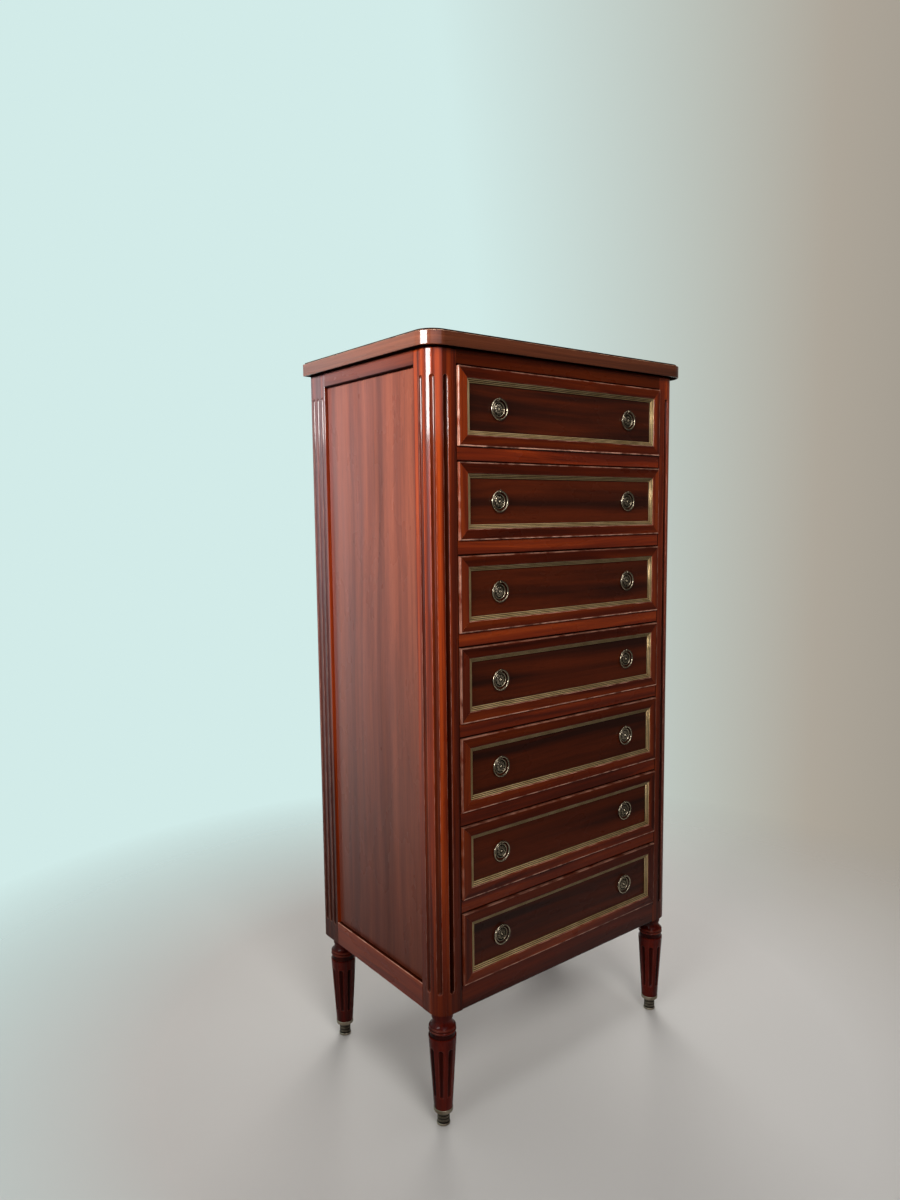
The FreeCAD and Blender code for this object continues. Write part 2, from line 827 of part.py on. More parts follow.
def make_drawer_box():
    """Sides with a groove for the bottom, the back above the bottom, and the bottom."""
    low = bottom_level()
    top_of_bottom = f"{low} + drawer_bottom_thickness"
    box_top = f"{BOX_LOW} + drawer_side_height"
    blank = block(
        "drawer_side_blank",
        (f"-{BOX_OUTSIDE}", f"-{BOX_INSIDE}"),
        (BOARD_BACK, "drawer_depth"),
        (BOX_LOW, box_top),
    )
    slot = block(
        "drawer_side_slot",
        (f"-{BOX_INSIDE} - drawer_bottom_housing", f"-{BOX_INSIDE}"),
        (BOARD_BACK, "drawer_depth"),
        (f"{low} - glue_gap / 2", f"{top_of_bottom} + glue_gap / 2"),
    )
    left = cut("drawer_side", blank, slot)
    back = block(
        "drawer_back",
        (f"-{BOX_INSIDE}", BOX_INSIDE),
        ("drawer_depth - drawer_side_thickness", "drawer_depth"),
        (f"{top_of_bottom} + glue_gap / 2", f"{box_top} - drawer_bottom_lift"),
    )
    housed = f"{BOX_INSIDE} + drawer_bottom_housing - glue_gap"
    bottom = block(
        "drawer_bottom",
        (f"-({housed})", housed),
        (f"{BOARD_BACK} - drawer_bottom_housing", "drawer_depth"),
        (low, top_of_bottom),
    )
    return group("box_pieces", [left, mirrored("drawer_side_right", left), back, bottom])


def make_pull_plate():
    """A round plate with a raised rim and a domed middle, and a drilled lug above its centre.
    It is modelled about the plate's centre with its back at y = 0."""
    plate = turned(
        "plate_turning",
        [
            ("plate_radius", "0"),
            ("plate_radius", "plate_rim"),
            ("plate_radius - 2.4", "plate_rim - 1"),
            ("plate_radius / 3", "plate_rise - 0.6"),
            ("1.2", "plate_rise"),
        ],
        PLATE_SIDES,
    )
    place(plate, axis=(1, 0, 0), angle="90")
    lug_half = "lug_width / 2"
    lug = block(
        "lug_blank",
        (f"-{lug_half}", lug_half),
        ("-ring_standoff - lug_radius", "0"),
        ("plate_radius - 1", "ring_radius + lug_radius"),
    )
    eye = f"(ring_wire + pin_play) / cos(180 / {FLUTE_SIDES})"
    bore = turned("lug_bore", [(eye, "-lug_width"), (eye, "lug_width")], FLUTE_SIDES)
    place(bore, "0", "-ring_standoff", "ring_radius", (0, 1, 0), "90")
    return cut("pull_plate", fuse("plate_solid", [plate, lug]), bore)


def make_ring():
    """The ring: round wire drawn with flats, bent to a many-sided ring about its own middle, so
    that a straight length of it lies in the lug."""
    corner = f"ring_radius / cos(180 / {RING_SIDES})"
    path = doc.addObject("Part::RegularPolygon", "ring_path")
    path.Polygon = RING_SIDES
    bind(path, "Circumradius", corner)
    wire = doc.addObject("Part::RegularPolygon", "ring_wire_section")
    wire.Polygon = WIRE_SIDES
    bind(wire, "Circumradius", "ring_wire")
    place(wire, corner, "0", "0", (1, 0, 0), "90")
    doc.recompute()
    ring = doc.addObject("Part::Sweep", "ring")
    ring.Sections = [wire]
    ring.Spine = (path, [f"Edge{number}" for number in range(1, RING_SIDES + 1)])
    ring.Solid = True
    ring.Transition = "Right corner"
    # Half a side's turn brings a straight side to the top; a quarter turn stands the ring up.
    stand = FreeCAD.Rotation(FreeCAD.Vector(1, 0, 0), 90)
    half_side = FreeCAD.Rotation(FreeCAD.Vector(0, 0, 1), 90 - 180 / RING_SIDES)
    ring.Placement = FreeCAD.Placement(FreeCAD.Vector(0, 0, 0), stand * half_side)
    return ring


def make_drawers():
    front = make_drawer_front()
    moulding = make_moulding()
    box = make_drawer_box()
    plate = make_pull_plate()
    ring = make_ring()
    sides = {"left": "-pull_place", "right": "pull_place"}
    plates = group(
        "plate_pieces",
        [place(group(f"plate_{s}", [plate]), x, "board_face") for s, x in sides.items()],
    )
    nodes = []
    for number in range(1, DRAWERS + 1):
        height = f"{FIRST_FRONT_TOP} - front_height / 2 - {number - 1} * drawer_pitch"
        for kind, pieces in (
            ("front", front),
            ("moulding", moulding),
            ("box", box),
            ("pull_plates", plates),
        ):
            node = group(f"drawer_{number}_{kind}", [pieces])
            nodes.append(place(node, "0", FRONT, height))
        for side, x in sides.items():
            node = group(f"ring_{number}_{side}", [ring])
            nodes.append(place(node, x, f"{FRONT} + board_face - ring_standoff", height))
    return nodes


# --- the chest ---------------------------------------------------------------------------------


def make_all():
    nodes = [make_top()]
    nodes += make_front_post()
    nodes += make_rear_stile()
    nodes += make_sides()
    nodes.append(
        make_rails("front_rails", rail_spans(), FRONT, (FRONT, f"{FRONT} + front_rail_depth"))
    )
    nodes.append(
        make_rails(
            "rear_rails",
            rear_rail_spans(),
            REAR_TENON_FACE,
            (f"{BEHIND_RAILS} - rear_rail_thickness", BEHIND_RAILS),
        )
    )
    nodes += [make_back(), make_runners()]
    nodes += make_legs()
    nodes += make_drawers()
    return nodes


def check_and_write(nodes):
    doc.recompute()
    for thing in doc.Objects:
        if "Invalid" in thing.State or "Error" in thing.State:
            raise RuntimeError(f"{thing.Label} failed: {thing.State}")
    os.makedirs("parts", exist_ok=True)
    for node in nodes:
        if node.Shape.isNull() or not node.Shape.isValid():
            raise RuntimeError(f"{node.Label} has no valid shape")
    for node in nodes:
        node.Shape.exportStep(os.path.join("parts", f"{node.Label}.step"))
    print(len(nodes), "nodes written")


check_and_write(make_all())
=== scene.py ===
import math
import random

import bmesh
import bpy
from mathutils import Matrix, Vector


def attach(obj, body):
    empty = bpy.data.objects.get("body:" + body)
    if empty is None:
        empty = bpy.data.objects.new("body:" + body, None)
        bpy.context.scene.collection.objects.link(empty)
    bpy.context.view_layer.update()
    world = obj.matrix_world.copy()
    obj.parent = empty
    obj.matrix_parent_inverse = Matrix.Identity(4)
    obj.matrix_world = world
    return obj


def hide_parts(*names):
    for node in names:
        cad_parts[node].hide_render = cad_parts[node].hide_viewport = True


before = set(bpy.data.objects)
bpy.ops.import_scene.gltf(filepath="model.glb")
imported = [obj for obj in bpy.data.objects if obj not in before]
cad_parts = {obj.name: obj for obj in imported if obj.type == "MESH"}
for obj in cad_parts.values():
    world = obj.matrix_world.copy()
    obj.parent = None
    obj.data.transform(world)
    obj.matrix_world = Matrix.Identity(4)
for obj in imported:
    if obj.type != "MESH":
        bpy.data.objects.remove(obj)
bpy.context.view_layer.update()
rng = random.Random(1770)

# Sizes in millimetres, in the same frame as the solids: +Z up, drawers open towards -Y.
FRONT, BACK = -175.5, 187.5
SIDE, OPENING = 287.0, 239.0  # half widths of the case and of the space between the posts
LEG_TOP, CASE_TOP, TOP = 198.0, 1250.0, 1274.0
TOP_HALF, TOP_FRONT, TOP_CORNER, EDGING = 302.0, -187.5, 34.0, 27.0
POST_RADIUS, POST_DEPTH, STILE = 26.0, 45.0, 48.0
POST_FLAT = SIDE - POST_RADIUS - OPENING
POST_BEND = POST_RADIUS * math.pi / 2
PANEL_OUTER, PANEL_INNER = 280.0, 270.0  # half widths at the faces of the side panels
GROOVE_WALL, GROOVE_DEPTH, RAIL_INNER = 269.8, 8.0, 265.0
FLUTE_LOW, FLUTE_HIGH = 233.0, 1210.0
FLUTE_RADIUS, FLUTE_LIFT = 4.6, 1.2  # of the round cutter, and of its middle above the face
FLUTE_HALF = math.sqrt(FLUTE_RADIUS**2 - FLUTE_LIFT**2)
FLUTE_PLACE, FLUTE_PITCH = 27.0, 14.5  # in from a post's side face, and between a stile's flutes
FLUTE_BOTTOM = 0.35  # deeper than this counts as inside a flute
DRAWERS, PITCH, FIRST_CENTRE = 7, 144.2, 1164.8
HALF_WIDTH, HALF_HEIGHT, GAP = 238.0, 60.2, 0.8  # of a drawer's front, and the gap round it
BOARD_FACE, BOARD_BACK = 2.0, 20.0  # a drawer's front board, behind the front of the case
FRAME_WIDTH = 17.5
PULLS = {"left": -153.5, "right": 153.5}
RING_RADIUS, WIRE, PIVOT = 16.05, 1.45, 3.2  # the ring, and its pivot in front of the board
LEGS = {
    "front_left": (-263.0, -151.5),
    "front_right": (263.0, -151.5),
    "rear_left": (-263.0, 163.5),
    "rear_right": (263.0, 163.5),
}
MITRE_GAP, JOINT = 0.06, 0.05  # what a strip or a rail stays short by, so that the joint shows
CREASE = 35  # degrees


# --- mesh tools ---


def clamp(value):
    return min(max(value, 0.0), 1.0)


class Shape:
    """Points in millimetres and faces. Each point also has its place in the wood, with the grain
    along the first axis, and three values. The first is 0 in a hollow, painted dark there as shade
    on wood and as grime on brass, and 1 on an exposed arris, worn and painted lighter as a
    highlight. The second darkens a piece below 1, mostly as painted shade where less light falls,
    and in places as the wood's own darker stripe. The third is how much painted reflection, a dull
    violet-grey veil, lies on its polish."""

    def __init__(self):
        self.points, self.grain, self.faces = [], [], []
        self.wear, self.tone, self.painted_sheen = [], [], []

    def add(self, points, faces, along="x", wear=0.5, tone=1.0, painted_sheen=0.0, fine=1.0):
        """Adds a piece, with its own place in the wood. The wear and painted shading, the painted
        shade and tone, and the painted sheen are numbers, or lists with one for each point, and
        fine makes the grain that many times narrower."""
        order = {"x": (0, 1, 2), "y": (1, 0, 2), "z": (2, 0, 1)}[along]
        scales = (1.0, fine, fine)
        shift = [rng.uniform(0, 5000) for _ in range(3)]
        start = len(self.points)
        for point in points:
            self.points.append(tuple(point))
            self.grain.append([point[k] * f + s for k, f, s in zip(order, scales, shift)])
        for values, given in ((self.wear, wear), (self.tone, tone), (self.painted_sheen, painted_sheen)):
            values += given if isinstance(given, list) else [given] * len(points)
        self.faces += [[start + i for i in face] for face in faces]

    def join(self, other):
        start = len(self.points)
        self.faces += [[start + i for i in face] for face in other.faces]
        for kind in ("points", "grain", "wear", "tone", "painted_sheen"):
            getattr(self, kind).extend(getattr(other, kind))

    def moved(self, matrix):
        """The same shape somewhere else."""
        other = Shape()
        other.join(self)
        other.points = [tuple(matrix @ Vector(p)) for p in self.points]
        return other


def build(name, shape, material, body, replaces=(), crease=CREASE):
    """The finished piece on its body. Edges turned by more than crease degrees stay sharp. With
    the usual crease the large faces are kept flat in the shading; most metal has its own."""
    mesh = bpy.data.meshes.new(name)
    mesh.from_pydata([[c * 0.001 for c in p] for p in shape.points], [], shape.faces)
    grain = mesh.attributes.new("grain", "FLOAT_VECTOR", "POINT")
    grain.data.foreach_set("vector", [c * 0.001 for g in shape.grain for c in g])
    for kind in ("wear", "tone", "painted_sheen"):
        layer = mesh.attributes.new(kind, "FLOAT", "POINT")
        layer.data.foreach_set("value", getattr(shape, kind))
    work = bmesh.new()
    work.from_mesh(mesh)
    bmesh.ops.recalc_face_normals(work, faces=work.faces)
    work.to_mesh(mesh)
    work.free()
    mesh.shade_smooth()
    mesh.set_sharp_from_angle(angle=math.radians(crease))
    mesh.materials.append(material)
    thing = bpy.data.objects.new(name, mesh)
    bpy.context.scene.collection.objects.link(thing)
    if crease == CREASE:
        flatten = thing.modifiers.new("flat_faces_shade_flat", "WEIGHTED_NORMAL")
        flatten.keep_sharp = True
    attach(thing, body)
    if replaces:
        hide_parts(*replaces)


def grid(rows, columns, closed=False):
    """Faces between rows of points laid out one after another; closed joins the row's ends."""
    faces = []
    for row in range(rows - 1):
        for column in range(columns if closed else columns - 1):
            following = (column + 1) % columns
            a, b = row * columns + column, row * columns + following
            faces.append([a, b, b + columns, a + columns])
    return faces


def tube(sections):
    """A closed skin through equal rings of points, with a face over each end."""
    count = len(sections[0])
    points = [p for section in sections for p in section]
    faces = grid(len(sections), count, closed=True)
    faces.append(list(range(count))[::-1])
    faces.append([len(points) - count + i for i in range(count)])
    return points, faces


def rounded_block(low, high, radius):
    """A box between two corners, with its arrises rounded off."""
    work = bmesh.new()
    bmesh.ops.create_cube(work, size=1.0)
    for vertex in work.verts:
        vertex.co = [(l + h) / 2 + c * (h - l) for c, l, h in zip(vertex.co, low, high)]
    bmesh.ops.bevel(
        work, geom=list(work.edges), offset=radius, segments=2, profile=0.5, affect="EDGES"
    )
    points = [tuple(v.co) for v in work.verts]
    work.verts.index_update()
    faces = [[v.index for v in face.verts] for face in work.faces]
    work.free()
    return points, faces


def arc(centre, radius, start, end, steps):
    """Points of an arc between two angles in degrees."""
    made = []
    for step in range(steps + 1):
        angle = math.radians(start + (end - start) * step / steps)
        made.append((centre[0] + radius * math.cos(angle), centre[1] + radius * math.sin(angle)))
    return made


def turns(count):
    """Angles of equal steps round a circle."""
    return [2 * math.pi * step / count for step in range(count)]


def turned(profile, sides, wear=()):
    """Round work about +Z through (radius, height) pairs, with the wear and painted shading at each
    pair: what Shape.add takes, as from the other functions that make one piece."""
    sections = []
    for radius, height in profile:
        section = [(radius * math.cos(a), radius * math.sin(a), height) for a in turns(sides)]
        sections.append(section)
    return *tube(sections), "z", [value for value in wear for _ in range(sides)]


def mitred(profile, half_width, half_height, wear):
    """Four mitred strips round a rectangle: the lower, right, upper and left one, with a hairline
    at each joint. The profile runs through (distance in from the outer edge, height towards the
    viewer) pairs."""
    corners = [(-1, -1), (1, -1), (1, 1), (-1, 1)]
    strips = []
    for side in range(4):
        first, last = corners[side], corners[(side + 1) % 4]
        along = Vector((last[0] - first[0], 0, last[1] - first[1])).normalized()
        rings = []
        for corner, push in ((first, MITRE_GAP), (last, -MITRE_GAP)):
            ring = []
            for inset, height in profile:
                spot = Vector(
                    (corner[0] * (half_width - inset), -height, corner[1] * (half_height - inset))
                )
                ring.append(tuple(spot + along * push))
            rings.append(ring)
        strips.append((*tube(rings), "x" if side % 2 == 0 else "z", wear + wear))
    return strips


def channel_depth(across, past, radius, lift, soft=0.25):
    """How deep a round-ended channel is at a distance from its middle line and past its straight
    part. Soft, in millimetres, rounds its arrises, and the tail of that rounding is left off."""
    inside = radius * radius - across * across - past * past
    if inside > 0:
        depth = math.sqrt(inside) - lift
    else:
        depth = -lift - (math.sqrt(radius**2 - inside) - radius)
    tail = 0.02
    return max(0.0, 0.5 * (depth + math.hypot(depth, soft)) - tail)


def stepped(low, high, steps):
    """Even steps from low to high."""
    return [low + (high - low) * (step / steps) for step in range(steps + 1)]


# --- materials ---


def start_material(name):
    material = bpy.data.materials.new(name)
    material.use_nodes = True
    tree = material.node_tree
    return material, tree, tree.nodes["Principled BSDF"]


def feed(tree, target, inputs):
    """Sets a node's inputs, by name or place, to other nodes' outputs or to plain values."""
    for key, value in inputs.items():
        socket = target.inputs[key]
        if isinstance(value, bpy.types.NodeSocket):
            tree.links.new(value, socket)
        else:
            socket.default_value = (*value, 1) if socket.type == "RGBA" else value


def node(tree, kind, inputs=(), **settings):
    made = tree.nodes.new("ShaderNode" + kind)
    for key, value in settings.items():
        setattr(made, key, value)
    feed(tree, made, dict(inputs))
    return made


def noise(tree, vector, scale, detail=2.0, roughness=0.5):
    """Noise stretched by a different scale on each axis, in steps per metre."""
    stretched = node(tree, "VectorMath", {0: vector, 1: scale}, operation="MULTIPLY").outputs[0]
    inputs = {"Vector": stretched, "Scale": 1.0, "Detail": detail, "Roughness": roughness}
    return node(tree, "TexNoise", inputs).outputs["Fac"]


def ramp(tree, value, stops):
    """Greys or colours between (place, shade) stops."""
    made = node(tree, "ValToRGB", {"Fac": value})
    elements = made.color_ramp.elements
    while len(elements) < len(stops):
        elements.new(0.5)
    for element, (place, shade) in zip(elements, stops):
        element.position = place
        element.color = (*shade, 1) if isinstance(shade, tuple) else (shade, shade, shade, 1)
    return made.outputs["Color"]


def mix(tree, kind, share, first, second):
    settings = {"data_type": "RGBA", "blend_type": kind, "clamp_factor": True}
    return node(tree, "Mix", {"Factor": share, 6: first, 7: second}, **settings).outputs[2]


def darken(tree, colour, value, stops, share=1.0):
    return mix(tree, "MULTIPLY", share, colour, ramp(tree, value, stops))


def calc(tree, kind, first, second):
    return node(tree, "Math", {0: first, 1: second}, operation=kind).outputs[0]


def relief(tree, height, strength, distance):
    inputs = {"Height": height, "Strength": strength, "Distance": distance}
    return node(tree, "Bump", inputs).outputs[0]


def attribute(tree, name, output="Fac"):
    return node(tree, "Attribute", attribute_name=name).outputs[output]


def own_place(tree):
    return node(tree, "TexCoord").outputs["Object"]


def place_in_wood(tree, along):
    """Where a point lies in its piece of wood, with the grain along the first axis."""
    if along is None:
        return attribute(tree, "grain", "Vector")
    if along == "x":
        return own_place(tree)
    parts = node(tree, "SeparateXYZ", {0: own_place(tree)}).outputs
    order = {"y": (1, 0, 2), "z": (2, 0, 1)}[along]
    return node(tree, "CombineXYZ", enumerate(parts[k] for k in order)).outputs[0]


def figure(tree, spot, colours, ribbon):
    """Wandering ribbon stripes, fibres and pores: the colour, the fibres and the pores."""
    wander = noise(tree, spot, (1.6, 5.0, 5.0))
    shift = calc(tree, "MULTIPLY", calc(tree, "SUBTRACT", wander, 0.5), 0.05)
    push = node(tree, "CombineXYZ", {1: shift, 2: shift}).outputs[0]
    bent = node(tree, "VectorMath", {0: spot, 1: push}, operation="ADD").outputs[0]
    stripes = noise(tree, bent, (0.9, ribbon, ribbon), detail=3.0, roughness=0.55)
    colour = ramp(tree, stripes, list(zip((0.36, 0.5, 0.64), colours)))
    fibres = noise(tree, bent, (9.0, 420.0, 420.0), detail=3.0, roughness=0.6)
    colour = darken(tree, colour, fibres, [(0.3, 0.62), (0.7, 1.0)], 0.55)
    pores = noise(tree, bent, (38.0, 1500.0, 1500.0), detail=1.0)
    colour = darken(tree, colour, pores, [(0.60, 1.0), (0.70, 0.45)], 0.5)
    return colour, fibres, ramp(tree, pores, [(0.60, 0.0), (0.70, 1.0)])


def with_painted_sheen(tree, spot, colour):
    """A painted reflection: a dull violet-grey veil mixed unevenly into the colour."""
    uneven = ramp(tree, noise(tree, spot, (4.0, 30.0, 30.0), detail=3.0), [(0.3, 0.7), (0.7, 1.3)])
    share = calc(tree, "MULTIPLY", attribute(tree, "painted_sheen"), uneven)
    return mix(tree, "MIX", share, colour, (0.30, 0.24, 0.27))


def polish_by_height(tree):
    """The polish is dull near the floor and whole from the middle of the case up."""
    level = node(tree, "SeparateXYZ", {0: own_place(tree)}).outputs[2]
    return ramp(tree, calc(tree, "DIVIDE", level, 1.3), [(0.15, 0.3), (0.55, 1.0)])


def wood(
    name, dark, middle, light, ribbon, coat, along=None, worn_highlight=None,
    gloss=0.2, rough=(0.24, 0.34), coat_rough=0.085, bump=0.12,
):
    """Mahogany or plain wood. Ribbon is the number of stripes in a metre, coat the weight of the
    polish and gloss the specular level under it. Along is the grain's axis on a solid that stays as
    it is; without it, the points' own values are used. Worn is the lighter colour of rubbed
    arrises, partly wear and partly a painted highlight."""
    material, tree, shader = start_material(name)
    spot = place_in_wood(tree, along)
    colour, fibres, pores = figure(tree, spot, (dark, middle, light), ribbon)
    cloud = noise(tree, spot, (3.0, 6.0, 6.0))
    colour = darken(tree, colour, cloud, [(0.3, 0.78), (0.7, 1.0)], 0.6)
    if along is None:
        # Painted shade and light: each point's darkening value dims the colour, and a painted
        # reflection is laid over it.
        tone = attribute(tree, "tone")
        colour = with_painted_sheen(tree, spot, darken(tree, colour, tone, [(0.0, 0.0), (1.0, 1.0)]))
        if worn_highlight is None:
            polished = ramp(tree, tone, [(0.5, 0.2 * coat), (0.9, coat)])
        else:
            wear = attribute(tree, "wear")
            patches = noise(tree, spot, (45.0, 60.0, 60.0), detail=3.0)
            patches = ramp(tree, patches, [(0.38, 0.1), (0.62, 1.0)])
            # Rubbed arrises take the worn colour: partly wear, partly a painted highlight.
            bare_and_lit = calc(tree, "MULTIPLY", ramp(tree, wear, [(0.6, 0.0), (1.0, 1.0)]), patches)
            colour = mix(tree, "MIX", bare_and_lit, colour, worn_highlight)
            # Painted shade: hollows, gaps and undersides are darkened nearly to black.
            colour = darken(tree, colour, wear, [(0.0, 0.06), (0.12, 0.3), (0.5, 1.0)])
            clean = ramp(tree, wear, [(0.03, 0.0), (0.2, coat)])
            held = ramp(tree, tone, [(0.2, 0.25), (0.6, 1.0)])
            polished = calc(tree, "MULTIPLY", clean, held)
            gloss = ramp(tree, wear, [(0.03, 0.0), (0.2, gloss)])
        coat = calc(tree, "MULTIPLY", polished, polish_by_height(tree))
    smear = noise(tree, spot, (7.0, 16.0, 16.0), detail=4.0)
    ripple = noise(tree, spot, (14.0, 26.0, 26.0))
    raised = calc(tree, "MULTIPLY", fibres, 0.25), calc(tree, "MULTIPLY", ripple, 2.2)
    height = calc(
        tree, "SUBTRACT", calc(tree, "ADD", *raised), calc(tree, "MULTIPLY", pores, 0.3)
    )
    inputs = {
        "Base Color": colour,
        "Roughness": ramp(tree, smear, [(0.3, rough[0]), (0.7, rough[1])]),
        "IOR": 1.5,
        "Specular IOR Level": gloss,
        "Normal": relief(tree, height, bump, 0.0006),
        "Coat Weight": coat,
        "Coat Roughness": coat_rough,
        "Coat IOR": 1.5,
        "Coat Normal": relief(tree, ripple, 0.6 * bump, 0.0006),
    }
    feed(tree, shader, inputs)
    return material


def brass(name, bright, dull, dirt, rough=(0.22, 0.4), grime=(0.15, 0.55), metal=1.0):
    """Brass that is rubbed bright where it is exposed and dark in its hollows."""
    material, tree, shader = start_material(name)
    spot = own_place(tree)
    mottle = noise(tree, spot, (220.0, 220.0, 220.0), detail=4.0, roughness=0.6)
    tarnish = noise(tree, spot, (35.0, 35.0, 35.0), detail=3.0)
    colour = mix(tree, "MIX", ramp(tree, tarnish, [(0.35, 0.0), (0.65, 1.0)]), bright, dull)
    colour = darken(tree, colour, mottle, [(0.3, 0.7), (0.7, 1.0)], 0.35)
    uneven = calc(tree, "MULTIPLY", calc(tree, "SUBTRACT", mottle, 0.5), 0.3)
    clean = calc(tree, "ADD", attribute(tree, "wear"), uneven)
    mask = ramp(tree, clean, [(grime[0], 0.0), (grime[1], 1.0)])
    colour = mix(tree, "MIX", mask, dirt, colour)
    # Painted shade: each point's darkening value dims the brass, as on the upper reeds.
    colour = darken(tree, colour, attribute(tree, "tone"), [(0.0, 0.0), (1.0, 1.0)])
    inputs = {
        "Base Color": colour,
        "Roughness": ramp(tree, clean, [(0.1, rough[1]), (0.8, rough[0])]),
        "Metallic": metal,
        "Normal": relief(tree, mottle, 0.08, 0.0003),
    }
    feed(tree, shader, inputs)
    return material


CASE_WOOD = wood(
    "case_wood",
    (0.13, 0.0130, 0.0018),
    (0.29, 0.031, 0.0038),
    (0.49, 0.066, 0.0070),
    ribbon=48.0,
    coat=0.55,
    worn_highlight=(0.68, 0.36, 0.25),
    gloss=0.08,
)
TOP_WOOD = wood(
    "top_wood",
    (0.13, 0.030, 0.010),
    (0.21, 0.050, 0.017),
    (0.28, 0.072, 0.026),
    ribbon=26.0,
    coat=0.9,
    worn_highlight=(0.42, 0.2, 0.11),
    gloss=0.1,
)
PANEL_WOOD = wood(
    "panel_wood",
    (0.205, 0.039, 0.017),
    (0.28, 0.059, 0.026),
    (0.355, 0.081, 0.036),
    ribbon=48.0,
    coat=0.45,
    gloss=0.1,
    coat_rough=0.12,
)
FRONT_WOOD = wood(
    "front_wood",
    (0.030, 0.0065, 0.0030),
    (0.085, 0.0135, 0.0035),
    (0.13, 0.020, 0.0045),
    ribbon=30.0,
    coat=0.2,
    gloss=0.08,
    coat_rough=0.14,
)
LEG_WOOD = wood(
    "leg_wood",
    (0.056, 0.0035, 0.0020),
    (0.110, 0.0070, 0.0032),
    (0.165, 0.0130, 0.0050),
    ribbon=60.0,
    coat=0.6,
    worn_highlight=(0.2, 0.05, 0.03),
    gloss=0.02,
)
PLAIN = dict(ribbon=24.0, coat=0.0, rough=(0.5, 0.65), coat_rough=0.3, bump=0.25)
BOX_WOOD = wood("box_wood", (0.25, 0.13, 0.055), (0.36, 0.205, 0.092), (0.45, 0.275, 0.13), **PLAIN)
RUNNER_WOOD = wood(
    "runner_wood", (0.22, 0.115, 0.05), (0.31, 0.175, 0.08), (0.40, 0.24, 0.115), along="y", **PLAIN
)
REAR_WOOD = wood(
    "rear_wood", (0.13, 0.045, 0.02), (0.19, 0.07, 0.03), (0.25, 0.10, 0.04), along="x", **PLAIN
)
BACK_WOOD = wood(
    "back_wood", (0.12, 0.052, 0.024), (0.18, 0.085, 0.04), (0.235, 0.12, 0.058), along="z", **PLAIN
)
GILT = brass(
    "gilt_brass",
    (0.86, 0.63, 0.32),
    (0.62, 0.43, 0.19),
    (0.07, 0.038, 0.018),
    rough=(0.3, 0.45),
    grime=(0.02, 0.42),
    metal=0.6,
)
PULL = brass("pull_brass", (0.44, 0.38, 0.28), (0.21, 0.175, 0.12), (0.010, 0.008, 0.006))
FOOT = brass(
    "foot_brass", (0.34, 0.29, 0.22), (0.18, 0.145, 0.10), (0.014, 0.011, 0.009), rough=(0.3, 0.5)
)


def dress(node_name, material):
    """Gives a solid that stays as it is its finish."""
    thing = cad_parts[node_name]
    if thing.material_slots:
        for place in thing.material_slots:
            place.material = material
    else:
        thing.data.materials.append(material)


# --- top ---


def edge_path(inset):
    """The top's plan from the back left corner round the front to the back right corner."""
    half, front, bend = TOP_HALF - inset, TOP_FRONT + inset, TOP_CORNER - inset
    steps = 18
    left = arc((-half + bend, front + bend), bend, 180, 270, steps)
    right = arc((half - bend, front + bend), bend, 270, 360, steps)
    return [(-half, BACK)] + left + right + [(half, BACK)]


def top_profile():
    """The edging from its underside round the edge to its upper face: (distance in, height) pairs
    and the wear and painted shading at each. The underside and the groove under the step are
    painted dark as shade, and the upper arris is worn and painted lighter as a highlight. A narrow
    step runs round the upper face."""
    thick = TOP - CASE_TOP
    profile = [(EDGING, 0.0), (2.0, 0.0), (1.2, 0.0)]
    profile += arc((1.2, 1.2), 1.2, 270, 180, 4)[1:]
    profile += arc((1.0, thick - 4.0), 1.0, 180, 90, 5)
    profile += [(4.3, thick - 3.0), (4.3, thick - 0.6), (4.4, thick - 0.3), (4.7, thick)]
    profile.append((EDGING, thick))
    wear = []
    for inset, height in profile:
        if height == 0.0 and inset > 1.5:
            wear.append(0.0)
        elif inset < 1.0 and height > thick - 3.9:
            wear.append(1.0)
        else:
            wear.append(0.02 if 4.2 < inset < 4.6 else 0.5)
    return profile, wear


def make_top():
    """A solid edging with its grain along it, round a board whose grain runs from side to side."""
    profile, wear = top_profile()
    sections = [
        [(x, y, CASE_TOP + height) for x, y in edge_path(inset)] for inset, height in profile
    ]
    rows, count = len(sections), len(sections[0])
    outer = sections[rows // 2]
    lengths = [0.0]
    for first, second in zip(outer, outer[1:]):
        lengths.append(lengths[-1] + (Vector(second) - Vector(first)).length)
    points = [p for section in sections for p in section]
    last = (rows - 1) * count
    faces = grid(rows, count)
    faces += [[last + i, last + i + 1, i + 1, i] for i in range(count - 1)]
    faces.append([row * count for row in range(rows)])
    faces.append([row * count + count - 1 for row in range(rows)][::-1])
    shape = Shape()
    shape.add(points, faces)
    corner = TOP_HALF - TOP_CORNER
    for row, (inset, height) in enumerate(profile):
        for column in range(count):
            index = row * count + column
            side_share = clamp((abs(points[index][0]) - corner) / TOP_CORNER)
            rear_end = column in (0, count - 1)
            # Painted shade darkens the front of the top more than its sides; a painted sheen lies
            # on its rear ends and, faintly, on its sides.
            shape.wear[index] = wear[row]
            shape.tone[index] = 0.5 + 0.5 * side_share
            shape.painted_sheen[index] = 0.15 if rear_end else 0.03 * side_share
            shape.grain[index] = [lengths[column] + 400.0, inset + 77.0, 4 * height + 31.0]
    sunk = 0.02  # the board lies this much under the edging, so that no two faces share a plane
    inner = edge_path(EDGING)
    board = [[(x, y, height) for x, y in inner] for height in (CASE_TOP + sunk, TOP - sunk)]
    shape.add(*tube(board))
    build("top_board", shape, TOP_WOOD, "carcass", ["top"])


# --- posts and stiles ---


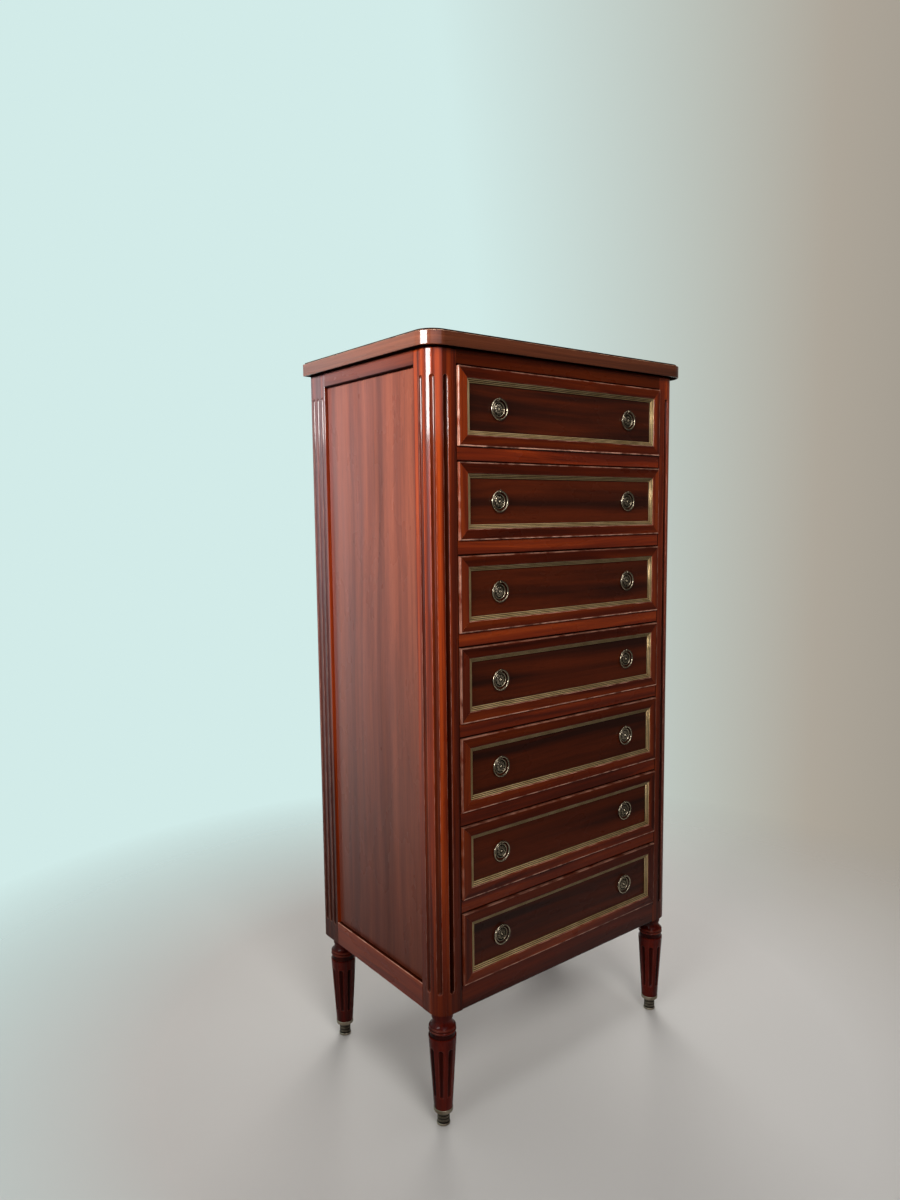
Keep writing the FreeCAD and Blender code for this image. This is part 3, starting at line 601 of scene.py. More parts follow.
def heights():
    """Levels up a post, close together where the flutes end."""
    low_end = FLUTE_LOW + FLUTE_RADIUS
    high_end = FLUTE_HIGH - FLUTE_RADIUS
    levels = [LEG_TOP, LEG_TOP + 0.5]
    levels += stepped(FLUTE_LOW - 1, low_end + 2, 16)
    levels += stepped(low_end + 2, high_end - 2, 8)[1:-1]
    levels += stepped(high_end - 2, FLUTE_HIGH + 1, 16)
    return levels + [CASE_TOP - 3.0, CASE_TOP - 1.5, CASE_TOP]


def shaded(level):
    """The most wear there can be at a level: right under the top the wood is painted dark as shade.
    """
    return 0.05 if level > CASE_TOP - 2 else 1.0


def beyond(level):
    """How far a level lies past the straight part of the flutes."""
    return max(FLUTE_LOW + FLUTE_RADIUS - level, level - FLUTE_HIGH + FLUTE_RADIUS, 0.0)


def across_steps():
    """Steps across a flute from side to side, close together at its arrises."""
    shares = [1.28, 1.14, 1.07, 1.03, 0.99, 0.95, 0.89, 0.81, 0.70, 0.56, 0.39, 0.20]
    half = [share * FLUTE_HALF for share in shares]
    return [-v for v in half] + [0.0] + half[::-1]


def face_steps(middles, start, end):
    """Steps along a fluted face between two distances, with flutes round the given middles."""
    steps, last = [], start
    for middle in middles:
        spots = [middle + v for v in across_steps()]
        steps += stepped(last, spots[0], 4)[:-1] + spots
        last = spots[-1]
    return steps + stepped(last, end, 4)[1:]


def flute_wear(from_middle, depth):
    """Painted shade at the bottom of a flute; its arrises are worn and painted lighter as a
    highlight.
    """
    if depth > FLUTE_BOTTOM:
        return max(0.15, 0.5 - 0.14 * depth)
    return 0.78 if 0.95 < from_middle / FLUTE_HALF < 1.12 else 0.5


def fluted_depth(distance, level, middles):
    """How deep the flutes go at a distance along a face, and the wear and painted shading there."""
    nearest = min(middles, key=lambda m: abs(m - distance))
    across = distance - nearest
    depth = channel_depth(across, beyond(level), FLUTE_RADIUS, FLUTE_LIFT)
    return depth, flute_wear(math.hypot(across, beyond(level)), depth)


def post_face(distance):
    """A point of a left front post's outer face and the way out from it, at a distance along the
    face from the drawers: over the front, round the corner and along the side."""
    if distance <= POST_FLAT:
        return (-OPENING - distance, FRONT), (0.0, -1.0)
    if distance >= POST_FLAT + POST_BEND:
        return (-SIDE, FRONT + POST_RADIUS + distance - POST_FLAT - POST_BEND), (-1.0, 0.0)
    angle = (distance - POST_FLAT) / POST_RADIUS
    out = (-math.sin(angle), -math.cos(angle))
    centre = (-SIDE + POST_RADIUS, FRONT + POST_RADIUS)
    return (centre[0] + POST_RADIUS * out[0], centre[1] + POST_RADIUS * out[1]), out


def build_pair(part, sections, wear, tone, painted_sheen, fine):
    """The left post or stile, and its mirror image on the right."""
    points, faces = tube(sections)
    for side, sign in (("left", 1), ("right", -1)):
        name = f"{part}_{side}"
        shape = Shape()
        shape.add([(sign * x, y, z) for x, y, z in points], faces, "z", wear, tone, painted_sheen, fine)
        build(f"{name}_fluted", shape, CASE_WOOD, "carcass", [name])


def make_posts():
    """The front posts, rounded at the corner, with a flute there and one on each face beside it."""
    rear = FRONT + POST_DEPTH
    length = POST_FLAT + POST_BEND + POST_DEPTH - POST_RADIUS
    corner = POST_FLAT + POST_BEND / 2
    place = SIDE - OPENING - FLUTE_PLACE
    middles = (place, corner, 2 * corner - place)
    steps = face_steps(middles, 0.6, length - 0.5)
    hidden = [(-SIDE + 0.5, rear), (-PANEL_OUTER, rear), (-PANEL_OUTER, rear - GROOVE_DEPTH)]
    hidden += [(-GROOVE_WALL, rear - GROOVE_DEPTH), (-GROOVE_WALL, rear), (-OPENING, rear)]
    hidden += [(-OPENING, FRONT + 0.6), (-OPENING - 0.2, FRONT + 0.2)]
    sections, wear, tone = [], [], []
    for level in heights():
        section = []
        for distance in steps:
            (x, y), (out_x, out_y) = post_face(distance)
            depth, rub_and_shading = fluted_depth(distance, level, middles)
            if distance < POST_FLAT and depth > FLUTE_BOTTOM:  # the front flute is in shade
                rub_and_shading *= 0.25
            # Painted shade in the gap beside the drawers.
            if distance < 1.2 and 232 < level < CASE_TOP - 24:  # beside the drawers
                rub_and_shading = 0.05
            section.append((x - depth * out_x, y - depth * out_y, level))
            wear.append(min(rub_and_shading, shaded(level)))
            # Painted shade: the front face is darker than the corner, and the post is darker
            # towards the floor.
            front_shade = 0.66 + 0.34 * clamp(distance / POST_FLAT - 0.6)
            tone.append(front_shade * (0.38 + 0.62 * clamp(level / 850.0)))
        # The faces against other parts are painted dark as shade.
        section += [(x, y, level) for x, y in hidden]
        wear += [0.05] * len(hidden)
        tone += [0.5] * len(hidden)
        sections.append(section)
    build_pair("front_post", sections, wear, tone, 0.0, 2.5)


def make_stiles():
    """The rear stiles: square, with three flutes in the outer face."""
    low = BACK - STILE
    middle = STILE / 2
    middles = (middle - FLUTE_PITCH, middle, middle + FLUTE_PITCH)
    rebate, rebate_depth = 251.0, 6.0  # for the back panel
    hidden = [(-SIDE + 0.6, BACK), (-rebate, BACK), (-rebate, BACK - rebate_depth)]
    hidden += [(-OPENING, BACK - rebate_depth), (-OPENING, low), (-GROOVE_WALL, low)]
    hidden += [(-GROOVE_WALL, low + GROOVE_DEPTH), (-PANEL_OUTER, low + GROOVE_DEPTH)]
    hidden += [(-PANEL_OUTER, low), (-SIDE + 0.6, low)]
    steps = face_steps(middles, 0.6, STILE - 0.6)
    sections, wear, tone, painted_sheen = [], [], [], []
    for level in heights():
        section = []
        for distance in steps:
            depth, rub_and_shading = fluted_depth(distance, level, middles)
            section.append((-SIDE + depth, low + distance, level))
            wear.append(min(max(rub_and_shading, 0.32), shaded(level)))
        section += [(x, y, level) for x, y in hidden]
        # Hidden faces are painted a little dark as shade; the return face beside the panel, the
        # last three points, is left lighter.
        wear += [0.3] * (len(hidden) - 3) + [0.5] * 3
        # Painted shade darker towards the floor; a painted sheen grows towards the top.
        tone += [0.13 + 0.55 * level / CASE_TOP] * len(steps) + [0.9] * len(hidden)
        painted_sheen += [0.3 * clamp(level / 1000.0) ** 2] * len(steps) + [0.0] * len(hidden)
        sections.append(section)
    build_pair("rear_stile", sections, wear, tone, painted_sheen, 2.0)


# --- sides and rails ---


def make_sides():
    """The two rails of each side, eased or rounded next to the panel, and the panel."""
    front, rear = FRONT + POST_DEPTH, BACK - STILE
    upper = [(SIDE, 1228.0), (SIDE, 1227.4), (286.6, 1226.2), (285.6, 1225.3), (284.5, 1225.0)]
    upper += [(RAIL_INNER, 1225.0), (RAIL_INNER, CASE_TOP), (SIDE, CASE_TOP)]
    upper += [(SIDE, CASE_TOP - 2.5)]
    lower = [(RAIL_INNER, LEG_TOP), (286.5, LEG_TOP), (SIDE, 198.5), (SIDE, 238.0), (SIDE, 238.8)]
    lower += [(286.85, 239.4), (286.4, 239.85), (285.8, 240.0), (285.3, 240.0)]
    lower += [(RAIL_INNER, 240.0)]
    # Each rail's outline, the wear and painted shading at its points, its shade and tone, and the
    # painted sheen at its rear end. The upper rail's eased underside and its top edge under the top
    # are painted dark as shade; the lower rail's rounded arris is painted light as a highlight,
    # with painted shade on the ledge behind it.
    rails = (
        (upper, [0.5] + [0.03] * 7 + [0.5], 0.42, 0.2),
        (lower, [0.5] * 5 + [1.0] * 3 + [0.03] * 2, 0.72, 0.06),
    )
    for side, sign in (("left", -1), ("right", 1)):
        shape = Shape()
        for outline, wear, tone, rear_sheen in rails:
            ends = (front + JOINT, rear - JOINT)
            points, faces = tube([[(sign * x, y, z) for x, z in outline] for y in ends])
            painted_sheen = [0.03] * len(outline) + [rear_sheen] * len(outline)
            shape.add(points, faces, "y", wear + wear, tone, painted_sheen)
        name = f"side_rails_{side}"
        build(f"{name}_moulded", shape, CASE_WOOD, "carcass", [name])
        low, high, tongue = 232.4, 1232.8, 7.5
        rings = []
        for y in stepped(front - tongue, rear + tongue, 60):
            face = [(sign * PANEL_OUTER, y, z) for z in stepped(low, high, 20)]
            rings.append(face + [(sign * PANEL_INNER, y, high), (sign * PANEL_INNER, y, low)])
        points, faces = tube(rings)
        tone, painted_sheen = [], []
        for x, y, z in points:  # a darker stripe runs up the veneer, in front of its middle
            band = math.exp(-(((y + 22.0 - 0.012 * (z - 700.0)) / 17.0) ** 2))
            # Painted shade: the panel is darker towards the floor; the stripe is the veneer's own.
            tone.append((0.5 + 0.5 * clamp(z / 950.0)) * (1.0 - 0.22 * band))
            # Painted sheen, stronger higher up and towards the back.
            painted_sheen.append(0.2 * clamp(z / 900.0) * (y - front) / (rear - front))
        panel = Shape()
        panel.add(points, faces, "z", tone=tone, painted_sheen=painted_sheen)
        name = f"side_panel_{side}"
        build(f"{name}_veneered", panel, PANEL_WOOD, "carcass", [name])


def drawer_centre(number):
    return FIRST_CENTRE - PITCH * (number - 1)


def make_rails():
    """The eight front rails, with a rounded lower arris and a fine upper one."""
    clear = HALF_HEIGHT + GAP
    spans = [(CASE_TOP - 24.2, CASE_TOP)]
    for number in range(1, DRAWERS):
        centre = drawer_centre(number)
        spans.append((centre - PITCH + clear, centre - clear))
    spans.append((LEG_TOP, drawer_centre(DRAWERS) - clear))
    # Painted shade: the rounded lower arris and the faces hidden under and over each rail are
    # darkened; the fine upper arris keeps its polish.
    wear = [0.0, 0.0, 0.02, 0.03, 0.06, 0.3] + [0.5] * 6 + [0.0, 0.0]
    shape = Shape()
    for low, high in spans:
        outline = [(40, low), (3, low), (1.4, low), (0.7, low + 0.5), (0.2, low + 1.3)]
        outline += [(0.0, low + 2.1), (0.0, low + 2.6), (0.0, high - 0.6)]
        for back, up in ((0.9, 0.42), (0.7, 0.7), (0.42, 0.9)):
            outline.append((0.6 - 0.6 * back, high - 0.6 + 0.6 * up))
        outline += [(0.6, high), (1.2, high), (40, high)]
        ends = (-OPENING + JOINT, OPENING - JOINT)
        points, faces = tube([[(x, FRONT + y, z) for y, z in outline] for x in ends])
        # Painted shade: the frieze under the top is darkest, and the rails are darker towards the
        # floor.
        tone = 0.2 if high == CASE_TOP else 0.36 + 0.5 * high / CASE_TOP
        shape.add(points, faces, "x", wear + wear, tone)
    build("front_rails_shaped", shape, CASE_WOOD, "carcass", ["front_rails"])


# --- legs ---


def leg_shaft():
    """The tapered shaft with its eight round-ended flutes, which widen upwards."""
    low, high, foot, head = 30.0, 155.0, 15.6, 23.3  # ends, and the radii there
    first, last = 52.0, 138.0  # ends of the flutes
    narrow, wide, lift = 3.5, 4.6, 1.4
    spread = 0.24  # radians from a flute's middle to where its steps end
    levels = [low, low + 0.4] + stepped(low + 1, first - 1, 2)[1:]
    levels += stepped(first - 1, first + narrow + 1.5, 10)[1:]
    levels += stepped(first + narrow + 1.5, last - wide - 1.5, 6)[1:]
    levels += stepped(last - wide - 1.5, last + 1, 12)[1:]
    levels += [148.0, high - 0.9, high - 0.25, high]
    shares = [1.0, 0.93, 0.86, 0.78, 0.66, 0.5, 0.3]
    offsets = [-s for s in shares] + [0.0] + shares[::-1]
    sections, wear = [], []
    for level in levels:
        reach = foot + (head - foot) * (level - low) / (high - low)
        if level > high - 0.6:
            reach -= 0.15 if level < high else 0.9
        radius = narrow + (wide - narrow) * clamp((level - first) / (last - first))
        past = max(first + narrow - level, level - last + wide, 0.0)
        section = []
        for flute in range(8):
            for offset in offsets:
                across = offset * spread * reach
                depth = channel_depth(across, past, radius, lift, 0.3)
                angle = math.radians(45 * flute) + across / reach
                spot = (reach - depth) * math.cos(angle), (reach - depth) * math.sin(angle)
                section.append((*spot, level))
                # Painted shade at the bottoms of the flutes; the arrises between them, along the
                # flutes, are worn and painted lighter as a highlight.
                if depth > 0.3:
                    wear.append(max(0.1, 0.45 - 0.15 * depth))
                else:
                    wear.append(0.85 if abs(offset) < 0.95 and first < level < last else 0.5)
        sections.append(section)
    return *tube(sections), "z", wear


def leg_head():
    """Groove, two beads, a hollow neck and a square-edged collar above the shaft."""
    outline = [(20.6, 154.9), (21.3, 155.4), (21.15, 156.4), (21.0, 158.6), (21.05, 161.2)]
    outline += [(21.2, 162.9)] + arc((20.8, 165.4), 2.1, -76, 82, 8)
    outline += [(20.9, 167.7)] + arc((20.1, 170.3), 2.5, -68, 80, 10)
    outline += [(20.0, 173.1), (19.4, 174.0)]
    outline += [(18.1, 176.0), (17.1, 178.3), (16.4, 180.8), (16.2, 183.2), (16.6, 185.2)]
    outline += [(17.0, 185.5), (17.6, 185.8), (17.8, 186.4), (17.8, 197.4), (17.4, 197.99)]
    wear = []
    for radius, height in outline:
        # The beads are worn and painted lighter as a highlight, and the grooves are painted dark as
        # shade.
        bead = 163.5 < height < 167.4 or 168.4 < height < 172.6
        groove = 155.2 < height < 163.0 or 167.4 < height < 168.2
        wear.append(0.8 if bead else (0.15 if groove else 0.45))
    return turned(outline, 72, wear)


def foot_cap():
    """A ringed metal shoe: bright collar, dark grooved foot and a rim on the floor."""
    outline = [(10.5, 0.0), (11.0, 0.25), (11.2, 0.8), (11.2, 2.2), (11.0, 2.9), (10.6, 3.5)]
    outline += [(9.9, 4.1), (9.6, 4.9), (9.8, 5.7), (10.25, 6.3), (10.3, 7.4), (10.3, 10.2)]
    outline += [(9.9, 10.7), (9.5, 11.2), (9.9, 11.8), (10.3, 12.3), (10.3, 15.8), (9.9, 16.3)]
    outline += [(9.5, 16.8), (9.9, 17.4), (10.3, 17.9), (10.4, 20.4), (10.9, 21.6), (12.6, 22.6)]
    outline += [(15.0, 23.1), (15.9, 23.7), (16.2, 24.8), (16.2, 28.2), (16.05, 29.4)]
    outline += [(15.7, 29.9), (14.6, 30.0)]
    wear = []
    for radius, height in outline:
        if height > 23.4:
            wear.append(1.0)
        elif height < 3.3:
            wear.append(0.8)
        else:
            wear.append(0.3 if radius > 10.2 else 0.0)
    return turned(outline, 64, wear)


def make_legs():
    caps = Shape()
    for spot, (x, y) in LEGS.items():
        move = Matrix.Translation((x, y, 0))
        leg = Shape()
        leg.add(*leg_shaft())
        leg.add(*leg_head())
        name = f"leg_{spot}"
        build(f"{name}_turned", leg.moved(move), LEG_WOOD, "carcass", [name])
        cap = Shape()
        cap.add(*foot_cap())
        caps.join(cap.moved(move))
    build("foot_caps_ringed", caps, FOOT, "carcass", ["foot_caps"], crease=50)


# --- drawers ---


def frame_profile():
    """A flat frame member with an outer arris that is worn and painted lighter as a highlight, and
    a small inner bevel, also lighter: (distance in, height) pairs and the wear and painted shading
    at each."""
    profile = [(0.0, -2.0), (FRAME_WIDTH, -2.0), (FRAME_WIDTH, 3.1)]
    wear = [0.5, 0.5, 0.45]
    profile += [(17.3, 3.5), (17.0, 3.8), (16.6, 3.96), (16.1, 4.0), (2.5, 4.0), (1.9, 4.0)]
    wear += [0.8, 0.95, 0.8, 0.5, 0.5, 0.9]
    profile += arc((1.2, 2.8), 1.2, 90, 180, 6) + [(0.0, 1.9), (0.0, 0.0)]
    wear += [1.0] * 5 + [0.9, 0.5, 1.0, 0.9]
    return profile, wear


def moulding_profile():
    """Three reeds that step down from the frame to the panel."""
    profile, wear = [(0.0, -2.0), (7.0, -2.0), (7.0, -1.4)], [0.0, 0.0, 0.0]
    for inset, height in ((5.85, -0.2), (3.5, 1.1), (1.15, 2.5)):
        profile += arc((inset, height), 0.75, -20, 180, 8)
        wear += [0.0, 0.25, 0.7, 1.0, 1.0, 1.0, 0.7, 0.25, 0.0]
        profile += [(inset - 0.78, height - 0.9), (inset - 1.4, height - 0.9)]
        wear += [0.0, 0.0]
    profile[-1] = (0.0, 1.5)
    return profile, wear


def make_front(number):
    """A front board, the frame applied to it, and the reeds inside the frame."""
    body = f"drawer_{number}"
    place = Matrix.Translation((0, FRONT, drawer_centre(number)))
    below = number - 1  # the lower a drawer, the less light and wear its uprights have
    near, far = (-HALF_WIDTH, BOARD_FACE, -HALF_HEIGHT), (HALF_WIDTH, BOARD_BACK, HALF_HEIGHT)
    panel = Shape()
    # Painted shade: the lower a drawer, the darker its panel.
    panel.add(*rounded_block(near, far, 0.4), tone=1.0 - 0.03 * below)
    panel = panel.moved(place)
    build(f"{body}_panel", panel, FRONT_WOOD, body, [f"{body}_front"])

    profile, wear = frame_profile()
    # Painted light and shade on the frame's strips, as light falls from the left: the left upright
    # is lightest and the upper strip darkest, and the uprights are darker on lower drawers. The
    # lower strip's outer arris is painted as a bright highlight line, the left one less so.
    strip_shades = (0.31 + 0.03 * below, 0.6 - 0.05 * below, 0.27, 0.68 - 0.05 * below)
    arris_rub_and_shading = (1.0, 0.5, 0.5, 0.8 - 0.08 * below)
    members = Shape()
    for strip, tone, rub_and_shading in zip(mitred(profile, HALF_WIDTH, HALF_HEIGHT, wear), strip_shades, arris_rub_and_shading):
        points, faces, along, values = strip
        values = [min(value, 0.5) + rub_and_shading * max(value - 0.5, 0.0) for value in values]
        members.add(points, faces, along, values, tone)
    build(f"{body}_frame", members.moved(place), CASE_WOOD, body)

    profile, wear = moulding_profile()
    inside = (HALF_WIDTH - FRAME_WIDTH, HALF_HEIGHT - FRAME_WIDTH)
    reeds = Shape()
    # Painted shade on the reeds: the upper strip is darkest and the left one dark, the lower and
    # right ones full.
    for strip, tone in zip(mitred(profile, *inside, wear), (1.0, 1.0, 0.5, 0.6)):
        reeds.add(*strip, tone)
    reeds = reeds.moved(place)
    build(f"{body}_reeds", reeds, GILT, body, [f"{body}_moulding"], crease=50)


def make_box(number):
    """Sides, back and bottom of plain wood."""
    body = f"drawer_{number}"
    place = Matrix.Translation((0, FRONT, drawer_centre(number)))
    low, outer, inner, end = -60.7, 236.0, 226.0, 225.98
    box = Shape()
    # Two corners, rounding and grain of the sides, the back and the bottom
    for near, far, radius, along in (
        ((-outer, 20.02, low), (-inner, 340, low + 100), 0.6, "y"),
        ((inner, 20.02, low), (outer, 340, low + 100), 0.6, "y"),
        ((-end, 330, low + 13.1), (end, 339.9, low + 92), 0.6, "x"),
        ((-end, 20.05, low + 8), (end, 339.8, low + 13), 0.3, "x"),
    ):
        box.add(*rounded_block(near, far, radius), along)
    build(f"{body}_tray", box.moved(place), BOX_WOOD, body, [f"{body}_box"])


def rosette():
    """A round plate with a corded rim, a ring of petals and a small flower, facing -Y."""
    rings = [  # (radius, height) pairs from the middle out
        (0.0, 4.15), (0.5, 4.1), (1.0, 3.9), (1.5, 3.5), (1.9, 3.0), (2.2, 2.5), (2.5, 2.2),
        (2.9, 2.1), (3.4, 2.3), (4.0, 2.6), (4.7, 2.75), (5.5, 2.75), (6.3, 2.6), (7.1, 2.35),
        (7.9, 2.0), (8.6, 1.6), (9.2, 1.2), (9.6, 0.95), (9.9, 0.95), (10.2, 1.3), (10.5, 1.8),
        (10.9, 2.2), (11.35, 2.4), (11.8, 2.3), (12.2, 2.0), (12.5, 1.5), (12.7, 0.9), (12.8, 0.0),
    ]
    sides = 96
    points, wear = [], []
    for radius, height in rings:
        for angle in turns(sides):
            rise, rub_and_shading = height, 0.5
            if 2.9 < radius < 9.3:
                vein = abs(math.cos(5 * angle))
                swell = math.sin(math.pi * (radius - 2.9) / 6.4)
                rise = height + 0.75 * swell * (vein - 0.55)
                rub_and_shading = 0.1 + 0.8 * swell * vein
            elif radius <= 2.2:
                lobe = abs(math.cos(2.5 * angle))
                rise = height - 0.5 * (1 - lobe) * math.sin(math.pi * radius / 2.4)
                rub_and_shading = 0.9
            elif 10.4 < radius < 12.4:
                cord = math.cos(24 * angle + 2.0 * (radius - 11.35))
                rise = height + 0.16 * cord
                rub_and_shading = 0.75 + 0.2 * cord
            elif radius < 3.1 or 9.2 < radius < 10.3:
                rub_and_shading = 0.0
            points.append((radius * math.cos(angle), -rise, radius * math.sin(angle)))
            wear.append(rub_and_shading)
    faces = grid(len(rings), sides, closed=True)
    faces.append([(len(rings) - 1) * sides + i for i in range(sides)])
    return points, faces, "x", wear


def knuckle():
    """The eye that the ring hangs in, on a short neck that rises from the plate."""
    inner, outer, half = 1.52, 2.45, 2.1
    outline = [(inner, -half), (outer - 0.5, -half), (outer - 0.12, -half + 0.15)]
    outline += [(outer, -half + 0.5), (outer, half - 0.5), (outer - 0.12, half - 0.15)]
    outline += [(outer - 0.5, half), (inner, half)]
    sides = 32
    points = []
    for radius, along in outline:
        for angle in turns(sides):
            across = (radius * math.cos(angle) - PIVOT, RING_RADIUS + radius * math.sin(angle))
            points.append((along, *across))
    faces = grid(len(outline), sides, closed=True)
    last = (len(outline) - 1) * sides
    faces += [[last + i, last + (i + 1) % sides, (i + 1) % sides, i] for i in range(sides)]
    shape = Shape()
    shape.add(points, faces, "x", 0.85)
    shape.add(*rounded_block((-1.9, -1.9, 10.8), (1.9, 0.0, 17.6), 0.5), "x", 0.4)
    return shape


def ring():
    """The ring, upright with its middle at the origin, and brighter in front."""
    around, across = 88, 20
    points = []
    for angle in turns(around):
        for tilt in turns(across):
            reach = RING_RADIUS + WIRE * math.cos(tilt)
            points.append((reach * math.sin(angle), WIRE * math.sin(tilt), reach * math.cos(angle)))
    faces = []
    for step in range(around):
        a, b = step * across, ((step + 1) % around) * across
        for turn in range(across):
            following = (turn + 1) % across
            faces.append([a + turn, b + turn, b + following, a + following])
    wear = [min(1.0, 0.72 - 0.25 * y / WIRE - 0.01 * z) for x, y, z in points]
    return points, faces, "x", wear


def fastening():
    """The washer, nut and stud of a pull, on the back of the drawer front."""
    shape = Shape()
    for outline, sides in (
        ([(5.0, 0.0), (5.0, 0.7), (4.8, 0.9), (1.6, 0.9)], 40),
        ([(3.3, 0.9), (3.6, 1.2), (3.6, 2.9), (3.2, 3.2)], 6),
        ([(1.5, 3.2), (1.5, 5.2), (1.2, 5.5)], 24),
    ):
        points, faces, *_ = turned(outline, sides)
        shape.add([(x, z, y) for x, y, z in points], faces, "x", 0.6)
    return shape


def make_pulls(number):
    body, centre = f"drawer_{number}", drawer_centre(number)
    plates = Shape()
    for side, x in PULLS.items():
        plate = Shape()
        plate.add(*rosette())
        plate.join(knuckle())
        plates.join(plate.moved(Matrix.Translation((x, FRONT + BOARD_FACE, centre))))
        plates.join(fastening().moved(Matrix.Translation((x, FRONT + BOARD_BACK, centre))))
        hoop = Shape()
        hoop.add(*ring())
        hoop = hoop.moved(Matrix.Translation((x, FRONT + BOARD_FACE - PIVOT, centre)))
        name = f"ring_{number}_{side}"
        build(f"{name}_wire", hoop, PULL, name, [name], crease=80)
    build(f"{body}_rosettes", plates, PULL, body, [f"{body}_pull_plates"], crease=40)


# --- surroundings ---


def seen_directly(tree):
    """1 for what the camera, a mirror or a glass shows, 0 for light that only bounces."""
    rays = node(tree, "LightPath").outputs
    seen = calc(tree, "MAXIMUM", rays["Is Camera Ray"], rays["Is Glossy Ray"])
    return calc(tree, "MAXIMUM", seen, rays["Is Transmission Ray"])


def towards(tree, vector, direction):
    """How far a vector goes in a direction."""
    inputs = {0: vector, 1: direction}
    return node(tree, "VectorMath", inputs, operation="DOT_PRODUCT").outputs["Value"]


def make_floor():
    """A pale floor that fades into the backdrop far from the chest, and sooner in front of it to
    the right. Less light bounces up from it than its colour says, as from a dark carpet."""
    reach, level = 6.0, -0.0004
    corners = [(-1, -1), (1, -1), (1, 1), (-1, 1)]
    mesh = bpy.data.meshes.new("floor")
    mesh.from_pydata([(x * reach, y * reach, level) for x, y in corners], [], [[0, 1, 2, 3]])
    floor = bpy.data.objects.new("floor", mesh)
    bpy.context.scene.collection.objects.link(floor)
    material, tree, shader = start_material("floor_paint")
    spot = own_place(tree)
    cloud = noise(tree, spot, (1.2, 1.2, 1.2))
    pale = ramp(tree, cloud, [(0.3, (0.70, 0.69, 0.66)), (0.7, (0.74, 0.73, 0.70))])
    colour = mix(tree, "MIX", seen_directly(tree), (0.18, 0.14, 0.12), pale)
    feed(tree, shader, {"Base Color": colour, "Roughness": 0.9, "Specular IOR Level": 0.1})
    away = node(tree, "VectorMath", {0: spot}, operation="LENGTH").outputs["Value"]
    away = calc(tree, "DIVIDE", away, reach)
    ahead = calc(tree, "DIVIDE", towards(tree, spot, (0.5, -0.866, 0.0)), reach)
    far = ramp(tree, away, [(0.11, 0.0), (0.25, 1.0)])
    far = calc(tree, "MAXIMUM", far, ramp(tree, ahead, [(0.14, 0.0), (0.27, 1.0)]))
    clear = node(tree, "BsdfTransparent").outputs[0]
    blend = node(tree, "MixShader", {0: far, 1: shader.outputs[0], 2: clear})
    feed(tree, tree.nodes["Material Output"], {"Surface": blend.outputs[0]})
    mesh.materials.append(material)


def make_world():
    """A backdrop that is pale green behind the chest and to its left, warm beside it, and dim in
    front of it to the right. It gives little light of its own."""
    world = bpy.data.worlds.new("studio")
    bpy.context.scene.world = world
    world.use_nodes = True
    tree = world.node_tree
    generated = node(tree, "TexCoord").outputs["Generated"]
    behind = towards(tree, generated, (-0.5, 0.866, 0.0))
    share = calc(tree, "MULTIPLY", calc(tree, "ADD", behind, 1.0), 0.5)
    dim, warm, pale = (0.13, 0.12, 0.11), (0.42, 0.38, 0.32), (0.645, 0.83, 0.81)
    colour = ramp(tree, share, [(0.24, dim), (0.49, warm), (0.67, pale)])
    colour = mix(tree, "MIX", seen_directly(tree), (0.10, 0.095, 0.09), colour)
    feed(tree, tree.nodes["Background"], {"Color": colour})


POST = (-0.25, -0.14)  # the near front post's place on the floor, in metres
DAYLIGHT = (1.0, 0.98, 0.96)
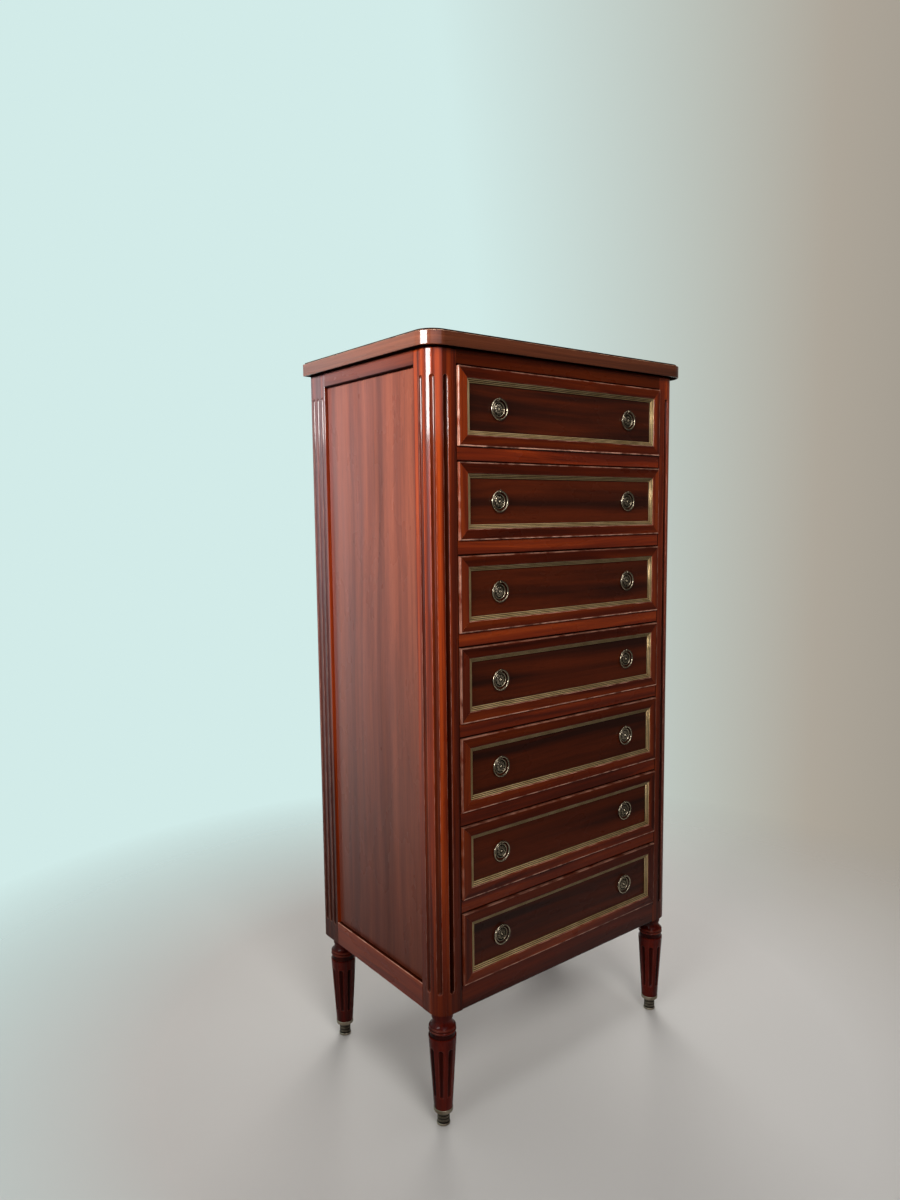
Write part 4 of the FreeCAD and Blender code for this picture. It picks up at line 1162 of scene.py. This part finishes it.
# Name, place, target and size in metres, watts, colour and spread in degrees. Two windows and the
# sill below them show in the polish of the near post, the strip in the front; the rest fill in.
LAMPS = [
    ("window_left", (-3.25, -0.27, 1.75), (*POST, 1.75), (0.8, 0.7), 9.28, DAYLIGHT, 60),
    ("window_right", (-3.09, -1.11, 1.75), (*POST, 1.75), (0.97, 0.7), 11.252, DAYLIGHT, 60),
    ("window_sill", (-3.21, -0.64, 1.0), (*POST, 1.45), (1.8, 0.95), 1.2, (0.86, 0.82, 1), 60),
    ("strip", (-1.03, -3.04, 1.8), (*POST, 1.8), (3.2, 0.8), 8, (0.95, 0.87, 1), 180),
    ("upper", (-0.8, -1.95, 2.5), (*POST, 1.2), (0.9, 0.9), 6, (1.0, 0.98, 0.95), 80),
    ("ceiling", (0.0, 0.2, 3.2), (0.0, 0.2, 0.0), (2.2, 2.2), 34, (1, 1, 1), 180),
    ("rear", (1.45, 1.65, 0.85), (0.15, 0.1, 0.75), (1.4, 1.3), 13, DAYLIGHT, 70),
]


def make_lights():
    for name, place, target, size, watts, colour, spread in LAMPS:
        data = bpy.data.lights.new(name, "AREA")
        data.shape = "RECTANGLE"
        data.size, data.size_y = size
        data.energy = watts
        data.color = colour
        data.spread = math.radians(spread)
        lamp = bpy.data.objects.new(name, data)
        lamp.location = place
        aim = Vector(target) - Vector(place)
        lamp.rotation_mode = "QUATERNION"
        lamp.rotation_quaternion = aim.to_track_quat("-Z", "Y")
        bpy.context.scene.collection.objects.link(lamp)


def make_camera():
    """The photograph's camera, 1 m above the floor and looking at the front left post."""
    focal, width = 852.24, 1200.0  # pixels
    place = (-1.0545, -1.2060, 1.0013)
    turn = Vector((1.6002, -0.5576, 0.4879))  # its length is the angle, in radians
    data = bpy.data.cameras.new("camera")
    data.sensor_width = 36.0
    data.lens = 36.0 * focal / width
    data.sensor_fit = "AUTO"
    data.clip_end = 100.0
    camera = bpy.data.objects.new("camera", data)
    world_to_view = Matrix.Rotation(turn.length, 3, turn)
    right, down, ahead = world_to_view
    axes = Matrix((right, -down, -ahead)).transposed().to_4x4()
    axes.translation = Vector(place)
    camera.matrix_world = axes
    bpy.context.scene.collection.objects.link(camera)
    bpy.context.scene.camera = camera


make_top()
make_posts()
make_stiles()
make_sides()
make_rails()
make_legs()
for drawer in range(1, DRAWERS + 1):
    make_front(drawer)
    make_box(drawer)
    make_pulls(drawer)
dress("drawer_runners", RUNNER_WOOD)
dress("rear_rails", REAR_WOOD)
dress("back_panel", BACK_WOOD)
make_floor()
make_world()
make_lights()
make_camera()
bpy.context.scene.view_settings.view_transform = "Standard"

bpy.context.view_layer.update()
